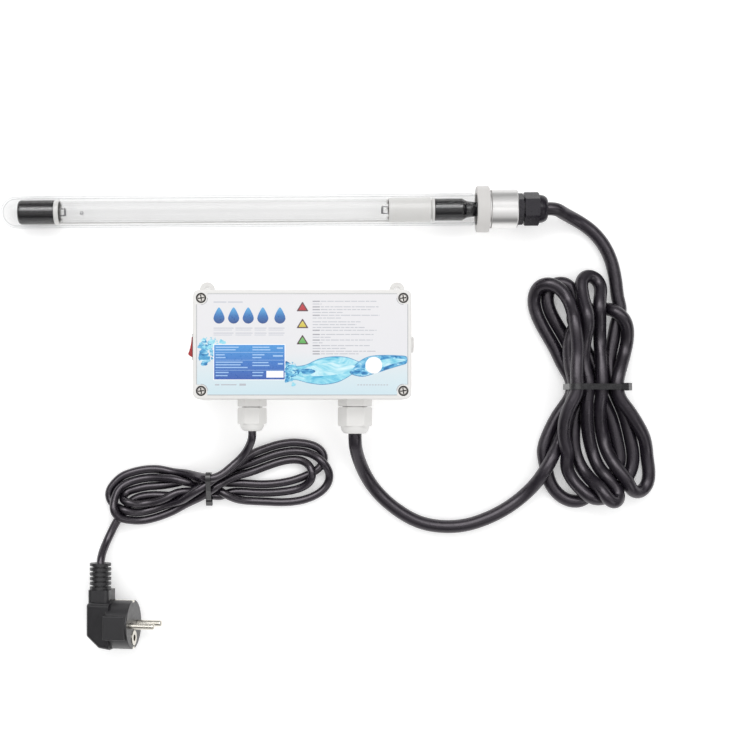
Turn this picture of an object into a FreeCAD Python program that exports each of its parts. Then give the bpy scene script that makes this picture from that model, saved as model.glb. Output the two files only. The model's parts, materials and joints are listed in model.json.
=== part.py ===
import FreeCAD, Part
import math
import os

# Immersion UV-C clarifier: lamp in a quartz sleeve with a screwed head, ballast
# box, coiled lamp lead, coiled mains lead and earthed plug.
# Millimetres. +Z up from the floor the set lies on, +X to the right along the
# box, +Y away from its cable glands. Origin: centre of the box's back face,
# which lies on the floor.

Vec = FreeCAD.Vector
compound = Part.makeCompound

# ---------------------------------------------------------------- dimensions
BOX_L, BOX_W, BOX_H = 160.0, 80.0, 55.0     # ballast box outside
HALF_L, HALF_W = BOX_L / 2.0, BOX_W / 2.0
BASE_H = 41.0                               # height of the lower tray
WALL = 3.0
CORNER_R = 4.5
CAVITY_R = CORNER_R - 1.5
SCREW_X, SCREW_Y = 74.0, 34.0               # lid screw positions
SCREW_XY = [(sx * SCREW_X, sy * SCREW_Y) for sx in (-1, 1) for sy in (-1, 1)]
POST_R = 5.0
LUG_X, LUG_Y, LUG_R, LUG_T = 72.5, 44.2, 5.7, 3.0
LUG_HOLE_R = 2.25

GLAND_Z = 27.5
GLAND_MAINS_X, GLAND_LAMP_X = -37.5, 39.5
MAINS_SHANK_R, LAMP_SHANK_R = 7.6, 9.3
SHANK_L = 8.0
LAMP_CABLE_R, MAINS_CABLE_R = 5.0, 3.1
CABLE_IN_Y = -30.5                          # where both cable jackets end in the box

SWITCH_Y, SWITCH_Z = -0.9, 26.0             # rocker switch in the left wall
SWITCH_BEZEL = 1.8                          # how far it stands out
PIVOT = Vec(-HALF_L + 1.0, SWITCH_Y, SWITCH_Z)
STUD_R = 1.2
ROCKER_R = 8.2                              # end radius about its pivot
ROCKER_TILT = 12.0                          # degrees, resting position
ROCKER_W = 10.3
BLADE_OFFSETS = (-5.0, 5.0)                 # terminals either side of SWITCH_Y
BLADE_END = 21.0                            # inwards from the wall's outside
VENT_Y, VENT_Z, VENT_R, VENT_OUT = 1.0, 27.5, 6.0, 3.3

BOARD_Z = 9.0
BOARD_TOP = BOARD_Z + 1.6
BOSS_XY = [(x, y) for x in (-52.0, 52.0) for y in (-22.0, 24.0)]
TERMINAL_X = [-20.0, -13.0, -6.0, 4.0, 10.5, 17.0, 23.5, 30.0]

# The lamp axis passes AXIS_POINT at AXIS_X in the lamp's own frame. It rises
# slightly to the head: the ring nut is wider than the sleeve and both rest on
# the floor.
AXIS_X = 136.0
AXIS_POINT = Vec(AXIS_X, 103.7, 17.53)
AXIS_DIR = Vec(1.0, 0.00497, 0.01563)
AXIS_DIR.normalize()

SLEEVE_R, SLEEVE_RI = 12.0, 10.5
SLEEVE_TIP, SLEEVE_END = -228.6, 139.3
SLEEVE_GRIND = 127.9                        # from here on the open end is ground down
SLEEVE_SEAT_R = 11.7                        # to this radius
TUBE_R, TUBE_RI = 8.0, 7.0
TUBE_X0, TUBE_X1 = -188.2, 68.0
TUBE_FIT = 0.03
CAP_R, CAP_X0, CAP_X1 = 9.2, -215.1, -187.5
BASE_R, BASE_X0, BASE_X1 = 9.25, 65.3, 97.0
RETURN_WIRE_AT, RETURN_WIRE_ANGLE = 8.62, math.radians(205.0)
LAMP_PIN_R, LAMP_PIN_END = 1.15, 106.2
LAMP_PIN_YZ = [(4.4 * math.cos(math.radians(45 + 90 * k)),
                4.4 * math.sin(math.radians(45 + 90 * k))) for k in range(4)]
HEAD_R, HEAD_END = 14.55, 161.9
NUT_R = 17.45
COLLAR_R = 13.6                             # threaded collar of the head

PLUG_POS = Vec(-126.6, -209.2, 21.85)       # centre of the plug's pin face
PLUG_TILT = math.radians(12.0)              # pin axis above the floor
PLUG_R = 18.5
PIN_R, PIN_L, PIN_SPACING = 2.4, 19.0, 19.0
PIN_ROOT_R = 2.0                            # buried shank of each pin
PIN_Z = [s * PIN_SPACING / 2.0 for s in (-1, 1)]
EARTH_Y = -10.0
SOCKET_DEPTH = -14.0                        # bottom of the holes in the pin face
PLUG_CABLE_X = -26.4                        # cable axis behind the pin face
PLUG_CABLE_Y = 14.0                         # where the cable starts in the grip

TIE_T = 1.1
TIE_GAP = 0.12                              # between strands and strap


# ------------------------------------------------------------------- helpers
def box(x0, x1, y0, y1, z0, z1):
    return Part.makeBox(x1 - x0, y1 - y0, z1 - z0, Vec(x0, y0, z0))


def xcyl(r, x0, x1, y=0.0, z=0.0):
    return Part.makeCylinder(r, x1 - x0, Vec(x0, y, z), Vec(1, 0, 0))


def ycyl(r, y0, y1, x, z=0.0):
    return Part.makeCylinder(r, y1 - y0, Vec(x, y0, z), Vec(0, 1, 0))


def zcyl(r, x, y, z0, z1):
    return Part.makeCylinder(r, z1 - z0, Vec(x, y, z0), Vec(0, 0, 1))


def tube(r_out, r_in, x0, x1, y=0.0, z=0.0):
    return xcyl(r_out, x0, x1, y, z).cut(xcyl(r_in, x0 - 1, x1 + 1, y, z))


def edges_along(shape, axis):
    """Edges that start parallel to an axis, "x", "y" or "z"."""
    return [e for e in shape.Edges if abs(getattr(e.tangentAt(e.FirstParameter), axis)) > 0.99]


def edges_on(shape, axis, at):
    """Edges centred on the plane where the axis reads `at`."""
    return [e for e in shape.Edges if abs(getattr(e.CenterOfMass, axis) - at) < 1e-6]


def circles(shape):
    return [e for e in shape.Edges if len(e.Vertexes) == 1]


def rounded_box(x0, x1, y0, y1, z0, z1, r):
    block = box(x0, x1, y0, y1, z0, z1)
    return block.makeFillet(r, edges_along(block, "z"))


def flat_face(points):
    return Part.Face(Part.makePolygon(points + [points[0]]))


def revolve_x(profile):
    """Solid of revolution about X from (x, r) points."""
    face = flat_face([Vec(x, r, 0) for x, r in profile])
    return face.revolve(Vec(0, 0, 0), Vec(1, 0, 0), 360)


def hex_prism(flats, x0, x1, chamfer0, chamfer1):
    """Hexagon along X with a flat facing +Z; round chamfers on its corners."""
    corner_r = flats / math.sqrt(3.0)
    angles = [math.radians(60 * k) for k in range(6)]
    prism = flat_face([Vec(x0, corner_r * math.cos(a), corner_r * math.sin(a)) for a in angles])
    prism = prism.extrude(Vec(x1 - x0, 0, 0))
    r = corner_r + 0.01
    return prism.common(revolve_x([
        (x0, 0), (x0, r - chamfer0), (x0 + chamfer0 * 0.6, r),
        (x1 - chamfer1 * 0.6, r), (x1, r - chamfer1), (x1, 0)]))


def fuse(shapes):
    return shapes[0].fuse(shapes[1:]).removeSplitter()


def bezier(start, start_dir, end, end_dir, reach):
    curve = Part.BezierCurve()
    curve.setPoles([start, start + start_dir * reach, end - end_dir * reach, end])
    return curve.toShape()


def round_pipe(edges, start, direction, r):
    pipe = Part.BRepOffsetAPI.MakePipeShell(Part.Wire(edges))
    pipe.setFrenetMode(False)
    pipe.add(Part.Wire([Part.Circle(start, direction, r).toShape()]))
    pipe.build()
    pipe.makeSolid()
    return pipe.shape()


def cable(path, r, start, end, step=3):
    """Round cable through closely spaced points, in tangent-continuous pieces of
    `step` points, with straight runs from start and to end."""
    points = [Vec(*p) for p in path]
    last = len(points) - 1
    tangents = [points[0].sub(start)]
    tangents += [points[i + 1].sub(points[i - 1]) for i in range(1, last)]
    tangents.append(end.sub(points[-1]))
    for tangent in tangents:
        tangent.normalize()
    stops = list(range(0, last, step))
    if last - stops[-1] < step * 0.6:
        stops.pop()
    stops.append(last)
    edges = [Part.makeLine(start, points[0])]
    for i, j in zip(stops[:-1], stops[1:]):
        length = sum(points[k + 1].sub(points[k]).Length for k in range(i, j))
        edges.append(bezier(points[i], tangents[i], points[j], tangents[j], length / 3.0))
    edges.append(Part.makeLine(points[-1], end))
    return round_pipe(edges, start, tangents[0], r)


def conductor(start, start_dir, end, end_dir, r, reach):
    """One insulated wire between two points with given end directions."""
    start, start_dir = Vec(*start), Vec(*start_dir)
    edge = bezier(start, start_dir, Vec(*end), Vec(*end_dir), reach)
    return round_pipe([edge], start, start_dir, r)


def save(name, shape):
    if shape.ShapeType == "Compound" and len(shape.Solids) == 1:
        shape = shape.Solids[0]
    shape.exportStep("parts/%s.step" % name)


def placed(shape, matrix):
    moved = shape.copy()
    moved.Placement = FreeCAD.Placement(matrix).multiply(moved.Placement)
    return moved


# Lamp frame: local X is the lamp axis, from the sleeve's tip to the head.
lamp_y = Vec(0, 0, 1).cross(AXIS_DIR)
lamp_y.normalize()
lamp_z = AXIS_DIR.cross(lamp_y)
LAMP_MATRIX = FreeCAD.Matrix(
    AXIS_DIR.x, lamp_y.x, lamp_z.x, AXIS_POINT.x - AXIS_X * AXIS_DIR.x,
    AXIS_DIR.y, lamp_y.y, lamp_z.y, AXIS_POINT.y - AXIS_X * AXIS_DIR.y,
    AXIS_DIR.z, lamp_y.z, lamp_z.z, AXIS_POINT.z - AXIS_X * AXIS_DIR.z,
    0, 0, 0, 1)

# Plug frame: local X is the pins' direction, the pin face at x = 0.
PLUG_MATRIX = FreeCAD.Matrix(
    math.cos(PLUG_TILT), 0, -math.sin(PLUG_TILT), PLUG_POS.x,
    0, 1, 0, PLUG_POS.y,
    math.sin(PLUG_TILT), 0, math.cos(PLUG_TILT), PLUG_POS.z,
    0, 0, 0, 1)


def lamp_point(x):
    return AXIS_POINT + AXIS_DIR * (x - AXIS_X)


# -------------------------------------------------------------- cable glands
def gland(flats, shank_r, base_l, gap, nut_l, total, collar_r, cable_r, body_flats=None):
    """Cable gland along +X, wall face at x = 0: body, seal insert and dome nut."""
    nut0 = base_l + gap
    nut1 = nut0 + nut_l
    collar_end = nut0 + nut_l * 0.62
    seal_r = collar_r - 1.9
    seal0, seal1 = base_l + 2.0, nut1 - 0.8

    body = fuse([
        hex_prism(body_flats or flats, 0.0, base_l, 0.5, 0.9),
        xcyl(shank_r, -SHANK_L, 0.0),
        xcyl(collar_r, base_l, collar_end)])
    body = body.cut(xcyl(cable_r + 0.35, -SHANK_L - 1, collar_end + 1))
    body = body.cut(xcyl(seal_r + 0.05, seal0 - 0.05, collar_end + 1))
    # slots between the clamping fingers of the collar
    for k in range(6):
        slot = Part.makeBox(collar_end - seal0, 0.8, collar_r + 2,
                            Vec(seal0 + 2.0, -0.4, seal_r - 0.5))
        slot.rotate(Vec(0, 0, 0), Vec(1, 0, 0), 60 * k + 30)
        body = body.cut(slot)

    seal = tube(seal_r, cable_r + 0.03, seal0, seal1)

    hole_r = cable_r + 0.7
    dome_r = flats / 2.0 - 0.35
    dome0 = nut1 + 0.1
    profile = [(nut1 - 0.6, 0.0), (nut1 - 0.6, dome_r + 0.2), (dome0, dome_r)]
    for k in range(1, 7):
        a = math.radians(15 * k)
        profile.append((dome0 + (total - dome0) * math.sin(a),
                        dome_r - (dome_r - hole_r - 1.0) * (1 - math.cos(a))))
    profile.append((total, 0.0))
    nut = fuse([hex_prism(flats, nut0, nut1, 0.9, 1.0), revolve_x(profile)])
    nut = nut.cut(xcyl(collar_r + 0.08, nut0 - 1, collar_end + 0.601))
    nut = nut.cut(xcyl(seal_r + 0.06, nut0, seal1 + 0.05))
    nut = nut.cut(xcyl(hole_r, nut0, total + 1))
    return {"body": body, "seal": seal, "nut": nut}


def locknut(flats, shank_r):
    """Nut on the gland's shank, against the inside of the wall."""
    nut = hex_prism(flats, -WALL - 4.0, -WALL, 0.8, 0.8)
    return nut.cut(xcyl(shank_r + 0.05, -WALL - 5, -WALL + 1))


def save_box_gland(name, x, parts):
    """Turn the gland's +X to -Y and set it on the box's -Y wall."""
    for part, shape in parts.items():
        shape.rotate(Vec(0, 0, 0), Vec(0, 0, 1), -90)
        shape.translate(Vec(x, -HALF_W, GLAND_Z))
        save(name + "_gland_" + part, shape)


# ---------------------------------------------------------------- ballast box
def plan_block(z0, z1, inset=0.0, radius=CORNER_R):
    """Block with the box's outline, moved in by inset."""
    return rounded_box(-HALF_L + inset, HALF_L - inset, -HALF_W + inset, HALF_W - inset,
                       z0, z1, radius)


def rim_ring(inset_out, inset_in, z0, z1):
    outer = plan_block(z0, z1, inset_out, CORNER_R - inset_out)
    return outer.cut(plan_block(BASE_H - 2, BASE_H + 2, inset_in, CORNER_R - inset_in))


def switch_box(x0, x1, half_y, half_z):
    """Box about the switch's centre; x runs inwards from the wall's outside."""
    return box(-HALF_L + x0, -HALF_L + x1, SWITCH_Y - half_y, SWITCH_Y + half_y,
               SWITCH_Z - half_z, SWITCH_Z + half_z)


def enclosure_base():
    tray = plan_block(0, BASE_H).cut(plan_block(WALL, BASE_H + 1, WALL, CAVITY_R))
    bits = [tray]
    for sx in (-1, 1):
        for sy in (-1, 1):
            post = zcyl(POST_R, sx * SCREW_X, sy * SCREW_Y, 0.5, BASE_H)
            bits.append(post.common(plan_block(0, BASE_H)))
        lug = zcyl(LUG_R, sx * LUG_X, LUG_Y, 0, LUG_T)
        arm = box(sx * LUG_X - LUG_R, sx * LUG_X + LUG_R, HALF_W - 1.0, LUG_Y, 0, LUG_T)
        bits.append(lug.fuse(arm))
    for x, y in BOSS_XY:
        bits.append(zcyl(3.2, x, y, WALL - 0.5, BOARD_Z))
    tray = fuse(bits)
    # screw holes in posts, lugs and board bosses
    for sx in (-1, 1):
        for sy in (-1, 1):
            tray = tray.cut(zcyl(1.8, sx * SCREW_X, sy * SCREW_Y, 20.0, BASE_H + 1))
        tray = tray.cut(zcyl(LUG_HOLE_R, sx * LUG_X, LUG_Y, -1, LUG_T + 1))
    for x, y in BOSS_XY:
        tray = tray.cut(zcyl(1.25, x, y, 4.0, BOARD_Z + 1))
    # gasket groove round the rim
    tray = tray.cut(rim_ring(0.9, 2.3, BASE_H - 1.2, BASE_H + 1))
    # wall openings: glands, switch, vent
    for x, r in ((GLAND_MAINS_X, MAINS_SHANK_R), (GLAND_LAMP_X, LAMP_SHANK_R)):
        tray = tray.cut(ycyl(r + 0.05, -HALF_W - 1, -HALF_W + WALL + 1, x, GLAND_Z))
    tray = tray.cut(switch_box(-1, WALL + 1, 9.35, 6.35))
    return tray.cut(xcyl(4.05, HALF_L - WALL - 1, HALF_L + 1, VENT_Y, VENT_Z))


def lid_gasket():
    return rim_ring(0.95, 2.25, BASE_H - 1.15, BASE_H)


def enclosure_lid():
    lid = plan_block(BASE_H, BOX_H)
    lid = lid.makeFillet(1.2, edges_on(lid, "z", BOX_H))
    lid = lid.cut(plan_block(BASE_H - 1, BOX_H - WALL, WALL, CAVITY_R))
    outline = plan_block(BASE_H, BOX_H)
    lid = fuse([lid] + [zcyl(POST_R + 0.4, x, y, BASE_H, BOX_H - 1).common(outline)
                        for x, y in SCREW_XY])
    for x, y in SCREW_XY:
        lid = lid.cut(zcyl(2.1, x, y, BASE_H - 1, BOX_H + 1))
        lid = lid.cut(zcyl(3.8, x, y, BOX_H - 3.4, BOX_H + 1))
    return lid


def lid_label():
    """Sheet on the lid, its corners cut out round the screws."""
    half_x, half_y, thick, notch_r = 77.4, 37.2, 0.3, 4.7
    z0, z1 = BOX_H - 1, BOX_H + 2

    def outward_box(sx, sy, x, y):
        """Box in one corner from x, y to beyond the sheet."""
        x0, x1 = sorted((sx * x, sx * 90))
        y0, y1 = sorted((sy * y, sy * 60))
        return box(x0, x1, y0, y1, z0, z1)

    label = rounded_box(-half_x, half_x, -half_y, half_y, BOX_H, BOX_H + thick, 1.5)
    for sx in (-1, 1):
        for sy in (-1, 1):
            label = label.cut(zcyl(notch_r, sx * SCREW_X, sy * SCREW_Y, z0, z1))
            label = label.cut(outward_box(sx, sy, SCREW_X, SCREW_Y - notch_r))
            label = label.cut(outward_box(sx, sy, SCREW_X - notch_r, SCREW_Y))
    return label


def lid_screw(x, y):
    """Cross-recessed screw, its head just below the lid's face."""
    top = BOX_H - 0.7
    head = zcyl(3.45, x, y, top - 2.5, top)
    head = head.makeChamfer(0.5, edges_on(head, "z", top))
    screw = fuse([head, zcyl(1.7, x, y, 21.5, top - 2.4)])
    for angle in (8, 98):
        recess = Part.makeBox(4.4, 0.9, 1.8, Vec(-2.2, -0.45, 0))
        recess.rotate(Vec(0, 0, 0), Vec(0, 0, 1), angle)
        recess.translate(Vec(x, y, top - 1.7))
        screw = screw.cut(recess)
    return screw


def switch_housing():
    bezel = switch_box(-SWITCH_BEZEL, 0, 10.4, 7.4)
    bezel = bezel.makeChamfer(0.7, edges_on(bezel, "x", -HALF_L - SWITCH_BEZEL))
    housing = fuse([bezel, switch_box(0, 14.0, 9.3, 6.3)])
    housing = housing.cut(switch_box(-5, 9.5, 8.4, 5.3))
    return housing.cut(zcyl(STUD_R + 0.06, PIVOT.x, PIVOT.y, SWITCH_Z - 6.4, SWITCH_Z + 6.4))


def power_rocker():
    """Concave face with round ends; its high end is at -Y."""
    half_face, face_h, hollow = 6.5, 5.0, 0.55
    # (along Y, outward) about the pivot
    face = []
    for k in range(9):
        u = -half_face + 2 * half_face * k / 8.0
        face.append((u, face_h - hollow * (1 - (u / half_face) ** 2)))
    first = math.atan2(face_h, half_face)
    angles = [first - (first + 0.42) * k / 8.0 for k in range(1, 9)]
    end = [(ROCKER_R * math.cos(a), ROCKER_R * math.sin(a)) for a in angles]
    outline = face + end + [(-u, v) for u, v in reversed(end)]
    rocker = flat_face([Vec(-v, u, 0) for u, v in outline]).extrude(Vec(0, 0, ROCKER_W))
    rocker.translate(Vec(0, 0, -ROCKER_W / 2.0))
    rocker.rotate(Vec(0, 0, 0), Vec(0, 0, 1), -ROCKER_TILT)
    rocker.translate(PIVOT)
    # pivot studs, held in the two side walls of the housing
    return fuse([rocker, zcyl(STUD_R, PIVOT.x, PIVOT.y, SWITCH_Z - 5.95, SWITCH_Z + 5.95)])


def switch_terminals():
    return compound([
        box(-HALF_L + 14.0, -HALF_L + BLADE_END, SWITCH_Y + d - 2.4, SWITCH_Y + d + 2.4,
            SWITCH_Z - 0.4, SWITCH_Z + 0.4) for d in BLADE_OFFSETS])


def vent_plug():
    """Pressure vent plug in the right wall."""
    inside = HALF_L - WALL
    vent = xcyl(VENT_R, HALF_L, HALF_L + VENT_OUT, VENT_Y, VENT_Z)
    vent = vent.makeFillet(0.9, edges_on(vent, "x", HALF_L + VENT_OUT))
    vent = fuse([vent, xcyl(4.0, inside - 0.05, HALF_L, VENT_Y, VENT_Z),
                 xcyl(4.7, inside - 1.6, inside, VENT_Y, VENT_Z)])
    return vent.cut(xcyl(1.5, HALF_L - 8, HALF_L + 1.8, VENT_Y, VENT_Z))


# ------------------------------------------------------------ ballast board
def on_board(x0, x1, y0, y1, z0, z1):
    """Box with its heights measured from the board's top."""
    return box(x0, x1, y0, y1, BOARD_TOP + z0, BOARD_TOP + z1)


def ballast_board():
    board = box(-58, 58, -27, 29, BOARD_Z, BOARD_TOP)
    for x, y in BOSS_XY:
        board = board.cut(zcyl(1.7, x, y, BOARD_Z - 1, BOARD_TOP + 1))
    return board


def board_screws():
    screws = []
    for x, y in BOSS_XY:
        screw = fuse([zcyl(2.7, x, y, BOARD_TOP, BOARD_TOP + 1.8),
                      zcyl(1.2, x, y, 4.5, BOARD_TOP + 0.5)])
        screws.append(screw.cut(on_board(x - 2, x + 2, y - 0.4, y + 0.4, 0.9, 3)))
    return compound(screws)


def inductor_core():
    core = on_board(4, 30, -9, 13, 0, 20).cut(on_board(8, 26, -10, 14, 4, 16))
    return fuse([core, on_board(13, 21, -9, 13, 0, 20)])


def inductor_winding():
    winding = on_board(8.2, 25.8, -12.5, 16.5, 4.2, 15.8)
    return compound(winding.cut(on_board(12.9, 21.1, -13, 17, 4.1, 15.9)).Solids)


def filter_choke():
    return Part.makeTorus(6.2, 3.0, Vec(-42, 10, BOARD_TOP + 3.05), Vec(0, 0, 1))


def bulk_capacitor():
    return zcyl(8.0, -20, 12, BOARD_TOP, BOARD_TOP + 25.0)


def film_capacitors():
    # x0, x1, y0, y1, height
    sizes = [(-50, -37, -12, -6, 11), (-30, -17, -12, -5, 12),
             (36, 50, -4, 3, 13), (36, 50, 8, 15, 13)]
    return compound([on_board(x0, x1, y0, y1, 0, h) for x0, x1, y0, y1, h in sizes])


def heat_sink():
    plate = on_board(-6, 48, 24.0, 26.5, 0, 26)
    fin_x = [-6 + 6.5 * k for k in range(9)]
    return fuse([plate] + [on_board(x, x + 1.5, 26.4, 33.0, 1.0, 26) for x in fin_x])


def power_transistors():
    return compound([on_board(x, x + 10, 19.4, 23.95, 3, 18) for x in (0, 33)])


def terminal_block():
    block = on_board(-24, 34, -21, -13.5, 0, 12)
    for x in TERMINAL_X:
        block = block.cut(on_board(x - 1.9, x + 1.9, -22, -16.0, 2.0, 6.3))
        block = block.cut(zcyl(1.9, x, -17.0, BOARD_TOP + 7.0, BOARD_TOP + 13))
    return block


def terminal_screws():
    return compound([
        zcyl(1.8, x, -17.0, BOARD_TOP + 7.0, BOARD_TOP + 10.5)
        .cut(on_board(x - 2, x + 2, -17.4, -16.6, 9.7, 11)) for x in TERMINAL_X])


# -------------------------------------------------- conductors inside the box
def terminal_wire(gland_x, dy, dz, terminal_x, r, reach):
    """Wire from a jacket's end to a terminal; dy, dz place it in the jacket."""
    return conductor((gland_x + dy, CABLE_IN_Y + 0.02, GLAND_Z + dz), (0, 1, 0),
                     (terminal_x, -19.6, BOARD_TOP + 4.1), (0, 1, 0), r, reach)


def mains_conductors():
    places = ((-1.7, -0.6), (1.7, -0.6), (0.0, 1.65))
    return compound([terminal_wire(GLAND_MAINS_X, dx, dz, x, 0.7, 7.0)
                     for (dx, dz), x in zip(places, TERMINAL_X[:3])])


def switch_conductors():
    return compound([
        conductor((-HALF_L + BLADE_END + 0.02, SWITCH_Y + d, SWITCH_Z), (1, 0, 0),
                  (-54.0, SWITCH_Y + d * 0.8 - 2, BOARD_TOP + 0.02), (0, 0, -1), 0.8, 7.0)
        for d in BLADE_OFFSETS])


def lamp_conductors():
    """Wires at the box end of the lamp lead, then those at its head end."""
    wires = []
    for degrees, x in zip((90, 162, 234, 306, 18), TERMINAL_X[3:]):
        a = math.radians(degrees)
        wires.append(terminal_wire(GLAND_LAMP_X, 3.0 * math.cos(a), 3.0 * math.sin(a),
                                   x, 0.5, 5.0))
    for y, z in LAMP_PIN_YZ:
        wires.append(placed(xcyl(0.7, 150.02, 154.5, y * 0.55, z * 0.55), LAMP_MATRIX))
    return compound(wires)


# ------------------------------------------- lamp unit, all in the lamp frame
def quartz_sleeve():
    centre = SLEEVE_TIP + SLEEVE_R
    outer = fuse([Part.makeSphere(SLEEVE_R, Vec(centre, 0, 0)),
                  xcyl(SLEEVE_R, centre, SLEEVE_GRIND)])
    outer = outer.fuse(xcyl(SLEEVE_SEAT_R, SLEEVE_GRIND - 1, SLEEVE_END))
    return outer.cut(fuse([Part.makeSphere(SLEEVE_RI, Vec(centre, 0, 0)),
                           xcyl(SLEEVE_RI, centre, SLEEVE_END + 1)]))


def lamp_end_cap():
    """Cap at the tip end, hollow for the tube end."""
    cap = xcyl(CAP_R, CAP_X0, CAP_X1)
    cap = cap.makeFillet(2.5, edges_on(cap, "x", CAP_X0))
    return cap.cut(xcyl(TUBE_R + TUBE_FIT, -208.7, CAP_X1 + 0.8))


def lamp_end_ring():
    return tube(CAP_R - 0.2, TUBE_R + TUBE_FIT, CAP_X1, -184.1)


def lamp_tube():
    """Glass tube with a stem in each end."""
    stem_r = TUBE_RI - 0.03
    stems = [
        [(-188.1, 0), (-188.1, stem_r), (-186.3, stem_r), (-185.5, 3.3), (-184.0, 3.0),
         (-184.0, 0)],
        [(67.9, 0), (67.9, stem_r), (66.2, stem_r), (65.4, 3.3), (64.6, 3.0), (64.6, 0)]]
    return compound([tube(TUBE_R, TUBE_RI, TUBE_X0, TUBE_X1)] + [revolve_x(p) for p in stems])


def electrode(x, toward):
    """Two leads and a cross coil; toward is the X sense into the tube."""
    coil_x = x + toward * 4.0
    leads = [xcyl(0.4, min(x, coil_x), max(x, coil_x), y, 0) for y in (-2.6, 2.6)]
    return fuse(leads + [ycyl(0.8, -2.8, 2.8, coil_x)])


def lamp_filaments():
    return compound([electrode(-183.9, 1), electrode(64.5, -1)])


def amalgam_spot():
    return Part.makeSphere(1.6, Vec(-168.0, 0.0, -5.35)).common(xcyl(TUBE_RI - 0.02, -172, -164))


def lamp_return_wire():
    """Return conductor beside the tube, clear of it."""
    return xcyl(0.5, -184.05, BASE_X0 - 0.05, RETURN_WIRE_AT * math.cos(RETURN_WIRE_ANGLE),
                RETURN_WIRE_AT * math.sin(RETURN_WIRE_ANGLE))


def lamp_base():
    base = xcyl(BASE_R, BASE_X0, BASE_X1)
    base = base.makeFillet(0.5, circles(base))
    base = base.cut(xcyl(TUBE_R + TUBE_FIT, 64, 69.0))
    collar = xcyl(8.9, BASE_X1, 99.8).cut(tube(10, 7.2, BASE_X1, 98.2))
    base = fuse([base, collar])
    for y, z in LAMP_PIN_YZ:
        base = base.cut(xcyl(LAMP_PIN_R + 0.01, 95, 100, y, z))
    return base


def lamp_pins():
    pins = []
    for y, z in LAMP_PIN_YZ:
        pin = xcyl(LAMP_PIN_R, 95.01, LAMP_PIN_END, y, z)
        pins.append(pin.makeFillet(0.5, edges_on(pin, "x", LAMP_PIN_END)))
    return compound(pins)


def lamp_socket():
    socket = revolve_x([
        (100.0, 0), (100.0, 8.0), (100.3, 8.3), (120.6, 8.3), (121.0, 8.1), (123.8, 6.4),
        (124.3, 6.3), (131.0, 5.3), (140.2, 5.2), (140.2, 10.7), (143.2, 10.7),
        (143.2, 6.4), (150.0, 6.4), (150.0, 0)])
    for y, z in LAMP_PIN_YZ:
        socket = socket.cut(xcyl(1.65, 99, 112.5, y, z))
    return socket


def socket_contacts():
    return compound([tube(1.6, 1.2, 101.5, 112.0, y, z) for y, z in LAMP_PIN_YZ])


def head_body():
    head = revolve_x([
        (136.4, 0), (136.4, COLLAR_R - 0.6), (137.0, COLLAR_R), (142.0, COLLAR_R),
        (142.0, HEAD_R - 0.5), (142.5, HEAD_R), (161.3, HEAD_R), (HEAD_END, HEAD_R - 0.6),
        (HEAD_END, 0)])
    head = head.cut(xcyl(SLEEVE_SEAT_R + 0.1, 130, 139.4))
    return head.cut(xcyl(10.8, 139, 152.5)).cut(xcyl(9.35, 150, 163))


def sleeve_nut():
    nut = revolve_x([(131.4, 0), (131.4, NUT_R - 0.5), (131.9, NUT_R), (140.2, NUT_R),
                     (140.7, NUT_R - 0.5), (140.7, 0)])
    return nut.cut(xcyl(SLEEVE_R + 0.15, 130, 134)).cut(xcyl(COLLAR_R + 0.08, 133.4, 142))


def slip_washer():
    return tube(13.5, SLEEVE_R + 0.15, 133.45, 134.25)


def sleeve_o_ring():
    ring = tube(13.55, SLEEVE_SEAT_R + 0.02, 134.3, 136.35)
    return ring.makeFillet(0.7, circles(ring))


# ------------------------------------------------- plug, all in the plug frame
def plug_grip():
    """Hand grip behind the disc, thinned to the back."""
    outline = [(-33.6, 12.5), (-33.6, -8.3), (-23.5, -16.9), (-15.0, -18.0), (-15.0, 16.9),
               (-33.6, 16.9)]
    grip = flat_face([Vec(x, y, 0) for x, y in outline]).extrude(Vec(0, 0, 40.0))
    grip.translate(Vec(0, 0, -20.0))
    wedge = flat_face([Vec(-40, -30, -12.2), Vec(-40, -30, 12.2), Vec(-12, -30, 15.6),
                       Vec(-12, -30, -15.6)]).extrude(Vec(0, 60, 0))
    grip = grip.common(wedge)
    grip = grip.makeFillet(3.0, [e for e in grip.Edges if e.CenterOfMass.x < -15.5])
    neck = box(-33.6, -17.2, PLUG_CABLE_Y, 25.9, -9.5, 9.5)
    return grip.fuse(neck.makeFillet(3.0, edges_along(neck, "y")))


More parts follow.
